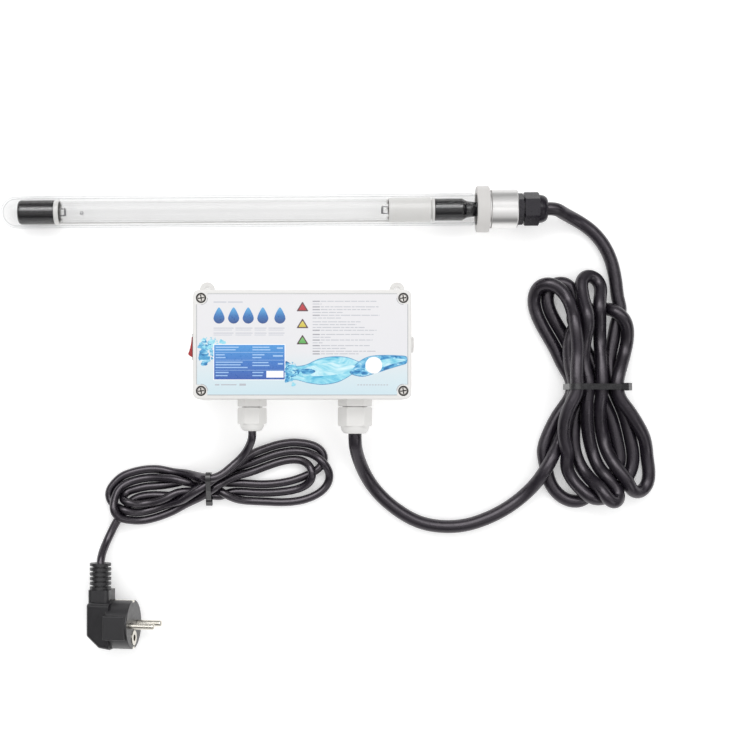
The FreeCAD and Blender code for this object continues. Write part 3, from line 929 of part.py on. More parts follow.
MAINS_LEAD = """
-37.5 -62.5 27.5, -37.5 -65 27.51, -37.5 -67.5 27.47, -37.96 -69.86 26.49,
-38.64 -72.05 25.22, -39.48 -74.11 23.94, -40.49 -76.18 22.69, -41.65 -78.19 21.59,
-43.01 -80.21 20.63, -44.51 -82.15 19.91, -46.22 -84.07 19.44, -48.02 -85.88 19.25,
-49.96 -87.66 19.32, -51.88 -89.34 19.62, -53.87 -91.05 20.1, -55.79 -92.71 20.68,
-57.81 -94.37 21.38, -59.85 -95.82 22.11, -62.11 -97.13 22.84, -64.45 -98.16 23.35,
-67.04 -98.91 23.69, -69.63 -99.25 23.54, -72.16 -99.2 22.52, -74.22 -98.92 20.88,
-76.08 -98.51 18.83, -77.89 -98.08 16.92, -79.89 -97.67 15, -81.88 -97.28 13.29,
-84.06 -96.85 11.58, -86.17 -96.4 10.05, -88.44 -96.02 8.52, -90.7 -95.82 7.18, -93.14 -95.67 5.95,
-95.56 -95.49 4.98, -98.12 -95.19 4.18, -100.62 -94.77 3.62, -103.22 -94.23 3.27, -105.75 -93.7,
-108.36 -93.25, -110.92 -92.97, -113.55 -92.87, -116.11 -92.93, -118.71 -93.13, -121.25 -93.44,
-123.82 -93.89, -126.31 -94.43, -128.82 -95.08, -131.26 -95.81, -133.71 -96.62, -136.04 -97.62,
-138.23 -98.93, -140.2 -100.52, -142.06 -102.25, -143.79 -104.08,
-145.33 -106.07, -146.57 -108.25, -147.34 -110.63, -147.48 -113.12 3.17, -146.93 -115.55 3.36,
-145.78 -117.73 3.8, -144.19 -119.53 4.53, -142.34 -120.91 5.51, -140.35 -121.91 6.74,
-138.43 -122.6 8.23, -136.32 -123.48 9.38, -133.95 -124.35 9.59, -131.57 -125.02 8.9,
-129.26 -125.45 7.9, -126.9 -125.65 6.83, -124.55 -125.67 5.84, -122.1 -125.47 4.96,
-119.67 -125.09 4.27, -117.16 -124.55 3.75, -114.7 -123.93 3.41, -112.18 -123.18 3.28,
-109.75 -122.36 3.41, -107.29 -121.47 3.77, -104.92 -120.63 4.34, -102.5 -119.83 5.11,
-100.18 -119.14 6.03, -97.81 -118.5 7.13, -95.6 -117.9 8.36, -93.42 -117.16 9.8,
-91.45 -116.29 11.27, -89.49 -115.21 12.81, -87.63 -114.03 14.22, -85.65 -112.74 15.56,
-83.66 -111.42 16.6, -81.52 -110.05 17.52, -79.38 -108.68 18.02, -77.11 -107.26 18.19,
-74.9 -105.92 18.15, -72.6 -104.57 17.96, -70.44 -103.17 17.68, -68.41 -101.46 17.53,
-66.34 -99.93 17.24, -64.11 -98.59 16.75, -62.01 -97.4 15.87, -59.93 -96.21 14.73,
-57.94 -95.05 13.59, -55.89 -93.83 12.46, -53.89 -92.58 11.45, -51.84 -91.23 10.53,
-49.86 -89.8 9.78, -47.87 -88.24 9.13, -45.96 -86.64 8.57, -44.01 -85.06 7.85, -42.07 -83.63 7.02,
-40.02 -82.3 6.1, -37.92 -81.14 5.23, -35.68 -80.07 4.46, -33.38 -79.13 3.88, -30.98 -78.22 3.48,
-28.59 -77.37 3.26, -26.15 -76.54 3.17, -23.73 -75.75, -21.27 -74.99, -18.82 -74.33, -16.32 -73.78,
-13.83 -73.34, -11.31 -72.95, -8.8 -72.69, -6.27 -72.6, -3.75 -72.69,
-1.22 -72.91, 1.27 -73.21, 3.76 -73.64, 6.21 -74.21, 8.6 -74.99,
10.87 -76.06, 12.93 -77.48, 14.66 -79.29, 15.91 -81.45, 16.51 -83.87,
16.36 -86.36, 15.47 -88.69, 14.09 -90.77, 12.35 -92.56, 10.37 -94.08,
8.23 -95.38, 5.98 -96.48, 3.7 -97.53, 1.4 -98.52, -0.93 -99.44,
-3.29 -100.29, -5.67 -101.06, -8.09 -101.74, -10.52 -102.34, -12.98 -102.85,
-15.44 -103.28, -17.93 -103.65, -20.42 -103.95, -22.92 -104.19, -25.42 -104.36,
-27.93 -104.46, -30.44 -104.49, -32.96 -104.45, -35.47 -104.36, -37.98 -104.23,
-40.49 -104.08, -43.01 -103.91, -45.52 -103.76 3.16, -48.04 -103.66 3.17, -50.55 -103.65 3.2,
-53.08 -103.66 3.27, -55.59 -103.59 3.38, -58.11 -103.39 3.56, -60.59 -103.05 3.79,
-63.06 -102.51 4.05, -65.47 -101.8 4.31, -67.87 -100.95 4.51, -70.28 -100.23 4.6,
-72.77 -99.67 4.55, -75.25 -99.15 4.37, -77.76 -98.62 4.11, -80.28 -98.33 3.83, -82.86 -98.29 3.58,
-85.29 -99 3.4, -87.56 -100.23 3.29, -89.78 -101.46 3.22, -92.12 -102.48 3.18, -94.52 -103.24 3.16,
-96.99 -103.8, -99.46 -104.24, -101.94 -104.65, -104.41 -105.05, -106.89 -105.39, -109.37 -105.62,
-111.85 -105.78, -114.34 -105.93, -116.81 -106.14, -119.27 -106.44, -121.7 -106.87,
-124.13 -107.39, -126.52 -108.02, -128.9 -108.73, -131.23 -109.53, -133.52 -110.49,
-135.29 -112.02 3.75, -136.3 -113.82 5.06, -136.33 -115.44 6.8, -135.3 -116.76 8.58,
-133.42 -117.59 9.87, -131.11 -118.43 10.2, -128.78 -119.07 9.65, -126.48 -119.35 8.72,
-124.17 -119.37 7.77, -121.79 -119.21 7.03, -119.33 -118.94 6.64, -116.85 -118.6 6.64,
-114.4 -118.2 6.99, -112 -117.73 7.53, -109.63 -117.14 8.16, -107.32 -116.39 8.78,
-105.04 -115.42 9.3, -102.81 -114.29 9.65, -100.57 -113.11 9.74, -98.3 -112.01 9.59,
-95.94 -111.09 9.31, -93.51 -110.44 9.06, -90.98 -110.04 9, -88.46 -109.82 9.16,
-85.93 -109.71 9.54, -83.5 -109.53 10.24, -81.21 -108.78 11.08, -79.08 -107.51 11.56,
-76.97 -106.06 11.71, -74.86 -104.66 11.68, -72.69 -103.31 11.5, -70.49 -102.09 11.17,
-68.28 -100.8 10.99, -66.15 -99.48 10.58, -64.05 -98.31 9.66, -62.06 -97.43 8.35,
-60.01 -96.62 7.01, -57.91 -95.79 5.83, -55.72 -94.88 4.82, -53.53 -93.88 4.02, -51.26 -92.82 3.48,
-48.96 -91.78 3.22, -46.6 -90.81 3.16, -44.22 -89.96, -41.82 -89.12, -39.45 -88.27,
-37.07 -87.4, -34.72 -86.51, -32.37 -85.62, -30.02 -84.75, -27.66 -83.9,
-25.3 -83.08, -22.92 -82.29, -20.54 -81.54, -18.12 -80.88, -15.68 -80.34,
-13.2 -79.91, -10.73 -79.52, -8.23 -79.26, -5.72 -79.17, -3.22 -79.27 3.18,
-0.73 -79.5 3.35, 1.73 -79.89 3.73, 4.09 -80.45 4.37, 6.33 -81.18 5.24, 8.44 -82.09 6.28,
10.43 -83.17 7.4, 12.31 -84.45 8.48, 14.14 -85.97 9.34, 15.91 -87.72 9.65, 17.51 -89.65 9.34,
18.79 -91.63 8.47, 19.77 -93.68 7.36, 20.42 -95.81 6.21, 20.71 -98.07 5.14, 20.56 -100.42 4.26,
19.93 -102.77 3.64, 18.86 -105 3.29, 17.41 -107.05 3.16, 15.69 -108.88, 13.77 -110.49,
11.7 -111.9, 9.5 -113.13, 7.23 -114.2, 4.89 -115.11, 2.5 -115.89,
0.07 -116.55, -2.39 -117.08, -4.88 -117.5, -7.37 -117.82, -9.89 -118.04,
-12.4 -118.17, -14.93 -118.24, -17.45 -118.24, -19.99 -118.19, -22.51 -118.09,
-25.06 -117.97, -27.58 -117.83, -30.14 -117.71, -32.67 -117.61, -35.23 -117.52 3.18,
-37.77 -117.39 3.31, -40.32 -117.23 3.62, -42.8 -117 4.15, -45.26 -116.69 4.92,
-47.59 -116.25 5.87, -49.89 -115.64 6.96, -52.08 -114.88 8.06, -54.29 -113.95 9.11,
-56.48 -112.85 9.87, -58.75 -111.56 10.08, -60.94 -110.28 9.71, -63.08 -109.07 8.77,
-65.21 -108.03 7.79, -67.65 -107.3 7.16, -70.08 -106.77 6.53, -72.5 -106.34 5.68,
-74.95 -105.86 5.21, -77.47 -105.31 5.19, -79.86 -104.65 5.7, -82.07 -103.93 6.81,
-84.13 -103.34 8.16, -86.45 -102.93 9.18, -88.89 -102.48 9.69, -91.36 -101.82 9.8,
-93.79 -101.13 9.61, -96.25 -100.52 9.18, -98.67 -100.06 8.6, -101.12 -99.76 7.9,
-103.52 -99.58 7.13, -105.95 -99.47 6.32, -108.35 -99.4 5.5, -110.79 -99.37 4.71,
-113.23 -99.39 4.04, -115.74 -99.5 3.56, -118.24 -99.7 3.28, -120.77 -100.02, -123.26 -100.46,
-125.75 -101 3.23, -128.18 -101.64 3.44, -130.59 -102.39 3.83, -132.89 -103.28 4.39,
-135.1 -104.41 5.08, -137.13 -105.71 5.87, -138.89 -107.4 6.76, -140.29 -109.31 7.71,
-141.3 -111.52 8.67, -142.02 -113.78 9.65, -142.56 -116.14 10.71, -142.93 -118.47 11.75,
-143.08 -120.96 12.65, -142.81 -123.49 13.03, -141.87 -125.94 12.73, -140.45 -127.93 11.91,
-138.6 -129.47 10.81, -136.51 -130.42 9.63, -134.22 -131.05 8.45, -131.92 -131.49 7.38,
-129.53 -131.86 6.38, -127.13 -132.11 5.5, -124.65 -132.17 4.73, -122.18 -132.07 4.13,
-119.65 -131.79 3.67, -117.17 -131.36 3.37, -114.67 -130.78 3.21, -112.23 -130.1 3.16,
-109.79 -129.34, -107.39 -128.52, -104.99 -127.63, -102.64 -126.71, -100.28 -125.72,
-97.98 -124.65, -95.73 -123.44 3.28, -93.55 -122.18 3.6, -91.37 -120.94 4.13, -89.23 -119.79 4.88,
-87.08 -118.71 5.82, -84.99 -117.72 6.88, -82.87 -116.71 7.99, -80.76 -115.72 9.03,
-78.57 -114.68 9.99, -76.44 -113.49 10.72, -74.35 -112.11 11.46, -72.33 -110.73 12.21,
-70.29 -109.28 12.99, -68.24 -107.93 13.68, -66.07 -106.53 14.07, -64 -105.05 13.85,
-61.84 -103.82 13.06, -59.76 -102.69 12.09, -57.66 -101.56 11.03, -55.59 -100.49 10.01,
-53.44 -99.46 9.01, -51.25 -98.55 8.08, -48.96 -97.75 7.21, -46.65 -97.07 6.42, -44.28 -96.46 5.66,
-41.92 -95.86 4.96, -39.54 -95.19 4.33, -37.18 -94.43 3.81, -34.82 -93.59 3.44, -32.47 -92.71 3.23,
-30.1 -91.81, -27.75 -90.94, -25.38 -90.09, -23.01 -89.26, -20.63 -88.47, -18.24 -87.72,
-15.83 -87.07, -13.39 -86.53, -10.92 -86.11, -8.44 -85.85, -5.94 -85.76 3.26,
-3.46 -85.88 3.59, -1.07 -86.34 4.18, 1.14 -87.15 5.05, 3.11 -88.29 6.13, 4.78 -89.75 7.32,
6.1 -91.55 8.49, 7.03 -93.7 9.4, 7.47 -96.16 9.65, 7.33 -98.63 9.23, 6.6 -100.83 8.26,
5.39 -102.72 7.11, 3.8 -104.32 5.97, 1.92 -105.67 4.97, -0.2 -106.8 4.18, -2.47 -107.72 3.62,
-4.87 -108.47 3.3, -7.31 -109.06 3.17, -9.79 -109.53, -12.27 -109.91, -14.78 -110.22,
-17.28 -110.47, -19.79 -110.68, -22.3 -110.85, -24.82 -110.96, -27.34 -111.04,
-29.86 -111.06, -32.38 -111.02, -34.91 -110.93, -37.42 -110.81, -39.95 -110.66, -42.47 -110.49,
-45 -110.34 3.16, -47.52 -110.24 3.17, -50.06 -110.23 3.19, -52.58 -110.41 3.25,
-55.07 -110.88 3.34, -57.47 -111.65 3.49, -59.81 -112.62 3.69, -62.2 -113.41 3.95,
-64.72 -113.53 4.23, -67.23 -113.25 4.46, -69.73 -112.96 4.59, -72.23 -112.83 4.57,
-74.71 -112.42 4.42, -77.16 -111.98 4.18, -79.65 -111.74 3.9, -82.14 -111.8 3.64, -84.62 -112.1 3.44,
-87.09 -112.55 3.31, -89.57 -112.9 3.23, -92.07 -113.11 3.18, -94.58 -113.22 3.16, -97.08 -113.25,
-99.59 -113.22, -102.1 -113.17, -104.6 -113.08, -107.1 -112.96, -109.6 -112.85,
-112.1 -112.8, -114.61 -112.84, -117.1 -113.01, -119.58 -113.28, -122.05 -113.7,
-124.47 -114.3, -126.81 -115.17, -128.99 -116.38, -130.9 -117.97, -132.46 -119.91,
-133.67 -122.1, -134.78 -124.32, -136.37 -126.25, -138.09 -128.05, -139.71 -129.96,
-141.15 -131.99, -142.44 -134.13, -143.63 -136.33, -144.75 -138.57 3.17, -145.83 -140.83 3.32,
-146.86 -143.08 3.7, -147.83 -145.31 4.36, -148.74 -147.47 5.29, -149.56 -149.57 6.46,
-150.29 -151.58 7.81, -150.91 -153.56 9.31, -151.42 -155.49 10.86, -151.83 -157.47 12.46,
-152.12 -159.49 13.99, -152.33 -161.64 15.38, -152.44 -164 16.39, -152.42 -166.5 16.36
"""
GLAND_RUN_Y = -60.0                         # the leads run straight in from here


def lead_points(table, cable_r):
    points = []
    for entry in table.split(","):
        x, y, *height = [float(word) for word in entry.split()]
        points.append((x, y, height[0] if height else cable_r + 0.05))
    return points


def save_lamp_lead():
    path = [tuple(lamp_point(183.0)), *lead_points(LAMP_LEAD, LAMP_CABLE_R),
            (GLAND_LAMP_X, GLAND_RUN_Y, GLAND_Z)]
    save("lamp_cable", cable(path, LAMP_CABLE_R, lamp_point(154.6),
                             Vec(GLAND_LAMP_X, CABLE_IN_Y, GLAND_Z)))
    save("lamp_cable_tie", lamp_cable_tie(path))


def save_mains_lead():
    plug_end = PLUG_MATRIX.multiply(Vec(PLUG_CABLE_X, PLUG_CABLE_Y, 0))
    path = [(GLAND_MAINS_X, GLAND_RUN_Y, GLAND_Z), *lead_points(MAINS_LEAD, MAINS_CABLE_R),
            (plug_end.x, -169.0, plug_end.z)]
    save("mains_cable", cable(path, MAINS_CABLE_R, Vec(GLAND_MAINS_X, CABLE_IN_Y, GLAND_Z),
                              Vec(plug_end.x, plug_end.y + 0.02, plug_end.z)))
    save("mains_cable_tie", mains_cable_tie(path))


# ---------------------------------------------------------------- build all
os.makedirs("parts", exist_ok=True)

for build in (enclosure_base, lid_gasket, enclosure_lid, lid_label, switch_housing,
              power_rocker, switch_terminals, vent_plug, ballast_board, board_screws,
              inductor_core, inductor_winding, filter_choke, bulk_capacitor,
              film_capacitors, heat_sink, power_transistors, terminal_block,
              terminal_screws, mains_conductors, switch_conductors, lamp_conductors):
    save(build.__name__, build())

for corner_name, (x, y) in zip(("bl", "tl", "br", "tr"), SCREW_XY):
    save("lid_screw_" + corner_name, lid_screw(x, y))

mains_gland = gland(flats=19.0, shank_r=MAINS_SHANK_R, base_l=5.4, gap=0.6, nut_l=12.4,
                    total=23.7, collar_r=7.7, cable_r=MAINS_CABLE_R)
mains_gland["locknut"] = locknut(22.0, MAINS_SHANK_R)
save_box_gland("mains", GLAND_MAINS_X, mains_gland)
lamp_gland = gland(flats=22.2, shank_r=LAMP_SHANK_R, base_l=5.2, gap=0.5, nut_l=14.2,
                   total=25.6, collar_r=9.3, cable_r=LAMP_CABLE_R)
lamp_gland["locknut"] = locknut(24.0, LAMP_SHANK_R)
save_box_gland("lamp", GLAND_LAMP_X, lamp_gland)

for build in (quartz_sleeve, lamp_end_cap, lamp_end_ring, lamp_tube, lamp_filaments,
              amalgam_spot, lamp_return_wire, lamp_base, lamp_pins, lamp_socket,
              socket_contacts, head_body, sleeve_nut, slip_washer, sleeve_o_ring):
    save(build.__name__, placed(build(), LAMP_MATRIX))
head_gland = gland(flats=22.0, shank_r=LAMP_SHANK_R, base_l=4.7, gap=0.6, nut_l=11.2,
                   total=23.0, collar_r=9.3, cable_r=LAMP_CABLE_R, body_flats=20.6)
for part, shape in head_gland.items():
    shape.translate(Vec(HEAD_END, 0, 0))
    save("head_gland_" + part, placed(shape, LAMP_MATRIX))

save_lamp_lead()
save_mains_lead()
for build in (plug_body, plug_pins, plug_earth_contacts):
    save(build.__name__, placed(build(), PLUG_MATRIX))
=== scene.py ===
# A white box with a printed lid, cables and glands, and a glass-sleeved lamp lying along X.
# It rests on the floor with +Z up and is seen from straight above, with +Y at the top of view.
# The script gives the pieces their materials, prints the lid label, and sets floor and lights.
import bpy
import bmesh
import json
import math
import random
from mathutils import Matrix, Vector


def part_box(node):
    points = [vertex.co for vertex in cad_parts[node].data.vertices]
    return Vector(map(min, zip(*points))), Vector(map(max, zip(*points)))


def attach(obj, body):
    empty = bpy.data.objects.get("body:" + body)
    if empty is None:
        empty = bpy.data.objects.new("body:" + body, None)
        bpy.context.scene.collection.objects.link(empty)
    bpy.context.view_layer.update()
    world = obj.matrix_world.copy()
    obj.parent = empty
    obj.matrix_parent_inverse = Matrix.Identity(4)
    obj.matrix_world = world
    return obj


random.seed(11)
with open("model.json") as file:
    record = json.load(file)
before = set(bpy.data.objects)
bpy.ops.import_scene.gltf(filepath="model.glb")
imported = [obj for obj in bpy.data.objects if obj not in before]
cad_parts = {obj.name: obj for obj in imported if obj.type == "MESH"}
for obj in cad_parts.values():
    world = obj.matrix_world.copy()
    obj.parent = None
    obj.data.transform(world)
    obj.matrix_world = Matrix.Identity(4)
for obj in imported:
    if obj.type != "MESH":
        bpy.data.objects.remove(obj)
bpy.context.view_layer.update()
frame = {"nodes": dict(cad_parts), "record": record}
pieces = frame["nodes"]

MM = 0.001
SCREW_X, SCREW_Y = 74.0, 34.0       # lid screw centres, mm either side of the lid's middle
LABEL_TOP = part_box("lid_label")[1].z


# ------------------------------------------------------------- node helpers
def srgb(*levels):
    """Display colour, 0-255, as linear values."""
    shares = [level / 255.0 for level in levels]
    return tuple(v / 12.92 if v <= 0.04045 else ((v + 0.055) / 1.055) ** 2.4 for v in shares)


def scaled(colour, factor):
    return tuple(v * factor for v in colour)


class Graph:
    """Short calls for building a shader node tree."""

    def __init__(self, tree):
        self.nodes = tree.nodes
        self.links = tree.links
        self.coords = self.add("TexCoord").outputs

    def feed(self, socket, value):
        """Link a socket, or set a plain value; colours are given as three numbers."""
        if isinstance(value, bpy.types.NodeSocket):
            self.links.new(value, socket)
        elif socket.type == "RGBA":
            socket.default_value = (*value, 1)
        else:
            socket.default_value = value

    def add(self, kind, inputs=None):
        node = self.nodes.new("ShaderNode" + kind)
        for key, value in (inputs or {}).items():
            self.feed(node.inputs[key], value)
        return node

    def separate(self, vector=None):
        return self.add("SeparateXYZ", {"Vector": vector or self.coords["Object"]}).outputs

    def mapping(self, scale, rotation=(0, 0, 0)):
        inputs = {"Scale": scale, "Rotation": rotation, "Vector": self.coords["Object"]}
        return self.add("Mapping", inputs).outputs["Vector"]

    def noise(self, scale, detail=3.0, rough=0.55, vector=None, distortion=0.0):
        return self.add("TexNoise", {
            "Scale": scale, "Detail": detail, "Roughness": rough, "Distortion": distortion,
            "Vector": vector or self.coords["Object"],
        }).outputs["Fac"]

    def ramp(self, value, stops):
        """stops: (position, linear colour)"""
        node = self.add("ValToRGB", {"Fac": value})
        elements = node.color_ramp.elements
        elements.remove(elements[1])
        for i, (position, colour) in enumerate(stops):
            element = elements.new(position) if i else elements[0]
            element.position = position
            element.color = (*colour, 1)
        return node.outputs["Color"]

    def remap(self, value, source, target):
        """Carry the span source onto the span target."""
        return self.add("MapRange", {
            "From Min": source[0], "From Max": source[1],
            "To Min": target[0], "To Max": target[1], "Value": value,
        }).outputs["Result"]

    def math(self, operation, a, b=None, clamp=False):
        node = self.add("Math", {0: a} if b is None else {0: a, 1: b})
        node.operation = operation
        node.use_clamp = clamp
        return node.outputs[0]

    def mix(self, factor, a, b):
        node = self.add("Mix")
        node.data_type = "RGBA"
        for index, value in ((0, factor), (6, a), (7, b)):     # 6 and 7 are the colour inputs
            self.feed(node.inputs[index], value)
        return node.outputs[2]

    def mix_shader(self, factor, a, b):
        return self.add("MixShader", {0: factor, 1: a, 2: b}).outputs[0]


class Surface(Graph):
    """One node material round its principled shader."""

    def __init__(self, name, **values):
        self.material = bpy.data.materials.new(name)
        self.material.use_nodes = True
        super().__init__(self.material.node_tree)
        self.bsdf = self.nodes["Principled BSDF"]
        self.normal = None
        self.set(**values)

    def set(self, **values):
        for key, value in values.items():
            self.feed(self.bsdf.inputs[key.replace("_", " ")], value)

    def gloss(self, noise, low, high):
        """Roughness that wanders between low and high."""
        self.set(Roughness=self.remap(noise, (0.3, 0.7), (low, high)))

    def bump(self, height, strength, depth):
        """Add a bump layer, depth in mm, over those already there."""
        node = self.add("Bump", {"Strength": strength, "Distance": depth * MM, "Height": height})
        if self.normal:
            self.feed(node.inputs["Normal"], self.normal)
        self.normal = node.outputs["Normal"]
        self.set(Normal=self.normal)


# ---------------------------------------------------------------- materials
# slot, material, colour, roughness, grain scale, grain depth mm, colour drift,
# specular, coat, ripple strength
MOULDED = (
    ("box_white", "abs_white", srgb(226, 225, 223), 0.42, 1500, 0.03, 0.02, 0.3, 0, 0.06),
    ("gland_white", "polyamide_white", srgb(226, 225, 223), 0.36, 900, 0.03, 0.02, 0.35, 0, 0.06),
    ("gasket_rubber", "seal_rubber", (0.02, 0.02, 0.021), 0.6, 1100, 0.05, 0.2, 0.5, 0, 0.06),
    ("switch_black", "switch_black", (0.018, 0.018, 0.019), 0.35, 1500, 0.03, 0.2, 0.5, 0, 0.06),
    ("rocker_red", "rocker_red", srgb(176, 28, 34), 0.22, 1500, 0.015, 0.06, 0.5, 0.5, 0.06),
    ("lamp_black", "lamp_socket_black", srgb(15, 13, 17), 0.12, 1200, 0.006, 0.12, 1, 0, 0.004),
    ("gland_black", "polyamide_black", srgb(28, 25, 32), 0.26, 900, 0.015, 0.12, 0.28, 0, 0.02),
    ("tie_black", "tie_nylon_black", srgb(26, 25, 28), 0.26, 1200, 0.02, 0.1, 0.9, 0, 0.02),
    ("plug_black", "plug_pvc_black", srgb(30, 29, 32), 0.34, 800, 0.04, 0.12, 0.7, 0, 0.02),
    ("nut_grey", "nut_light_grey", srgb(205, 203, 201), 0.5, 1000, 0.05, 0.03, 0.3, 0, 0.06),
    ("washer_white", "washer_white", srgb(235, 235, 230), 0.4, 1200, 0.02, 0.02, 0.5, 0, 0.06),
    ("lamp_ceramic", "lamp_ceramic", srgb(226, 225, 223), 0.3, 1800, 0.015, 0.02, 0.35, 0, 0.006),
    ("terminal_grey", "terminal_grey", srgb(120, 124, 128), 0.45, 1400, 0.04, 0.05, 0.5, 0, 0.06),
    ("capacitor_sleeve", "capacitor_sleeve", srgb(34, 40, 66),
     0.3, 1200, 0.02, 0.1, 0.5, 0.3, 0.06),
    ("capacitor_red", "capacitor_dipped", srgb(150, 62, 40), 0.28, 500, 0.08, 0.1, 0.5, 0.4, 0.06),
    ("ferrite", "ferrite", (0.03, 0.03, 0.033), 0.62, 1600, 0.08, 0.2, 0.5, 0, 0.06),
    ("board_green", "board_green", srgb(34, 92, 58), 0.35, 900, 0.02, 0.12, 0.5, 0.3, 0.06),
    ("wire_insulation", "wire_insulation", srgb(104, 70, 46), 0.42, 900, 0.03, 0.2, 0.5, 0, 0.06),
    ("return_lead", "return_lead_pale", srgb(212, 212, 210), 0.35, 1200, 0.02, 0.04, 0.5, 0, 0.06),
)
# slot, material, colour, roughness, grain stretch, grain depth mm, colour drift
METALS = (
    ("contact_brass", "contact_brass", (0.72, 0.55, 0.28), 0.28, (1, 1, 1), 0.02, 0.1),
    ("copper_wire", "copper_winding", (0.62, 0.28, 0.12), 0.35, (1, 8, 1), 0.12, 0.1),
    ("sink_aluminium", "sink_aluminium", (0.72, 0.73, 0.75), 0.4, (1, 1, 0.05), 0.02, 0.1),
    ("lead_nickel", "lead_nickel", (0.30, 0.30, 0.31), 0.35, (1, 1, 1), 0.02, 0.1),
    ("amalgam", "amalgam", (0.78, 0.78, 0.79), 0.55, (1, 1, 1), 0.02, 0.1),
    ("pin_nickel", "pin_nickel", (0.72, 0.69, 0.62), 0.24, (1, 1, 1), 0.02, 0.06),
)
# painted reflection and shade bands of the turned head, light and dark stripes standing in for the
# mirrored studio: position across the normal's Y, then linear colour
HEAD_PAINTED_REFLECTION_BANDS = (
    (0, 0.92, 0.911, 0.902), (0.05, 0.92, 0.911, 0.902), (0.077, 0.83, 0.822, 0.813),
    (0.103, 0.62, 0.614, 0.608), (0.13, 0.32, 0.317, 0.314), (0.156, 0.25, 0.247, 0.245),
    (0.183, 0.28, 0.277, 0.274), (0.209, 0.43, 0.426, 0.421), (0.235, 0.63, 0.624, 0.617),
    (0.262, 0.74, 0.733, 0.725), (0.288, 0.84, 0.832, 0.823), (0.341, 0.9, 0.891, 0.882),
    (0.38, 0.96, 0.95, 0.941), (0.44, 0.96, 0.95, 0.941), (0.474, 0.74, 0.733, 0.725),
    (0.51, 0.52, 0.515, 0.51), (0.55, 0.46, 0.455, 0.451), (0.632, 0.45, 0.446, 0.441),
    (0.66, 0.47, 0.465, 0.461), (0.685, 0.51, 0.505, 0.5), (0.71, 0.55, 0.544, 0.539),
    (0.738, 0.56, 0.554, 0.549), (0.765, 0.54, 0.535, 0.529), (0.791, 0.44, 0.436, 0.431),
    (0.844, 0.38, 0.376, 0.372), (0.87, 0.45, 0.446, 0.441), (0.897, 0.575, 0.569, 0.564),
    (0.923, 0.64, 0.634, 0.627), (0.95, 0.69, 0.683, 0.676), (1, 0.75, 0.742, 0.735),
)


def moulded(name, colour, rough, grain, grain_depth, drift, specular, coat, ripple):
    """Moulded plastic: fine grain, slow colour drift, uneven gloss."""
    m = Surface(name, Roughness=rough, Specular_IOR_Level=specular, Coat_Weight=coat)
    ends = [(0.3, scaled(colour, 1 - drift)), (0.7, scaled(colour, 1 + drift * 0.6))]
    m.set(Base_Color=m.ramp(m.noise(scale=45.0, rough=0.5), ends))
    m.gloss(m.noise(scale=300.0, detail=4.0, rough=0.6), low=rough - 0.06, high=rough + 0.08)
    m.bump(m.noise(scale=grain, detail=4.0, rough=0.6), strength=0.25, depth=grain_depth)
    m.bump(m.noise(scale=130.0, detail=2.0), strength=ripple, depth=0.25)
    return m.material


def metal(name, colour, rough, stretch, grain_depth, drift):
    m = Surface(name, Metallic=1.0, Roughness=rough)
    grain = m.noise(scale=900.0, rough=0.6, vector=m.mapping(scale=stretch))
    ends = [(0.25, scaled(colour, 1 - drift)), (0.75, scaled(colour, 1 + drift * 0.5))]
    m.set(Base_Color=m.ramp(grain, ends))
    m.gloss(m.noise(scale=240.0, detail=4.0), low=rough - 0.07, high=rough + 0.1)
    m.bump(grain, strength=0.35, depth=grain_depth)
    m.bump(m.noise(scale=90.0, detail=2.0), strength=0.05, depth=0.2)
    return m.material


def screw_metal():
    """Plated screw: bright worn face, with painted shade as a dark rim round it and black painted
    shade down in the slots.
    """
    m = Surface("screw_steel", Metallic=0.55, Roughness=0.42)
    place = m.separate()
    squares = []
    for axis, centre in (("X", SCREW_X), ("Y", SCREW_Y)):
        offset = m.math("SUBTRACT", m.math("ABSOLUTE", place[axis]), centre * MM)
        squares.append(m.math("MULTIPLY", offset, offset))
    radius = m.math("SQRT", m.math("ADD", *squares))
    # painted shade: past about 2.5 mm from the screw centre the colour goes dark, standing for the
    # shadowed gap in the counterbore
    face = m.ramp(m.remap(radius, (0.0, 0.004), (0.0, 1.0)), [
        (0.0, (0.66, 0.64, 0.61)), (0.55, (0.62, 0.60, 0.57)), (0.62, (0.16, 0.15, 0.145)),
        (0.80, (0.10, 0.095, 0.09)), (1.0, (0.05, 0.05, 0.05)),
    ])
    grain = m.noise(scale=900.0)
    # painted shade: below the slot's depth the colour goes near black
    outside_slot_shade = m.remap(place["Z"], (0.0536, 0.0539), (0.0, 1.0))
    colour = m.mix(outside_slot_shade, (0.03, 0.028, 0.026), face)
    wear = m.remap(grain, (0.35, 0.65), (0.0, 0.15))
    m.set(Base_Color=m.mix(wear, colour, (0.2, 0.19, 0.18)))
    m.gloss(m.noise(scale=500.0), low=0.36, high=0.52)
    m.bump(grain, strength=0.3, depth=0.015)
    return m.material


def turned_metal():
    """Turned aluminium: rings round the X axis over painted light and dark reflection bands set by
    the normal's Y.
    """
    m = Surface("turned_head", Metallic=0.55, Roughness=0.36)
    normal = m.separate(m.add("NewGeometry").outputs["Normal"])
    # painted reflection and shade: the base colour turns light or dark with the normal's Y, not
    # with the lighting
    bands = m.ramp(m.remap(normal["Y"], (-1, 1), (0, 1)), [(row[0], row[1:]) for row in HEAD_PAINTED_REFLECTION_BANDS])
    rings = m.noise(scale=1.0, detail=4.0, rough=0.7, vector=m.mapping(scale=(5200, 60, 60)))
    ring_tint = m.remap(rings, (0.3, 0.7), (0.0, 0.12))
    m.set(Base_Color=m.mix(ring_tint, bands, (0.35, 0.35, 0.35)))
    m.gloss(rings, low=0.32, high=0.46)
    m.bump(rings, strength=0.3, depth=0.03)
    return m.material


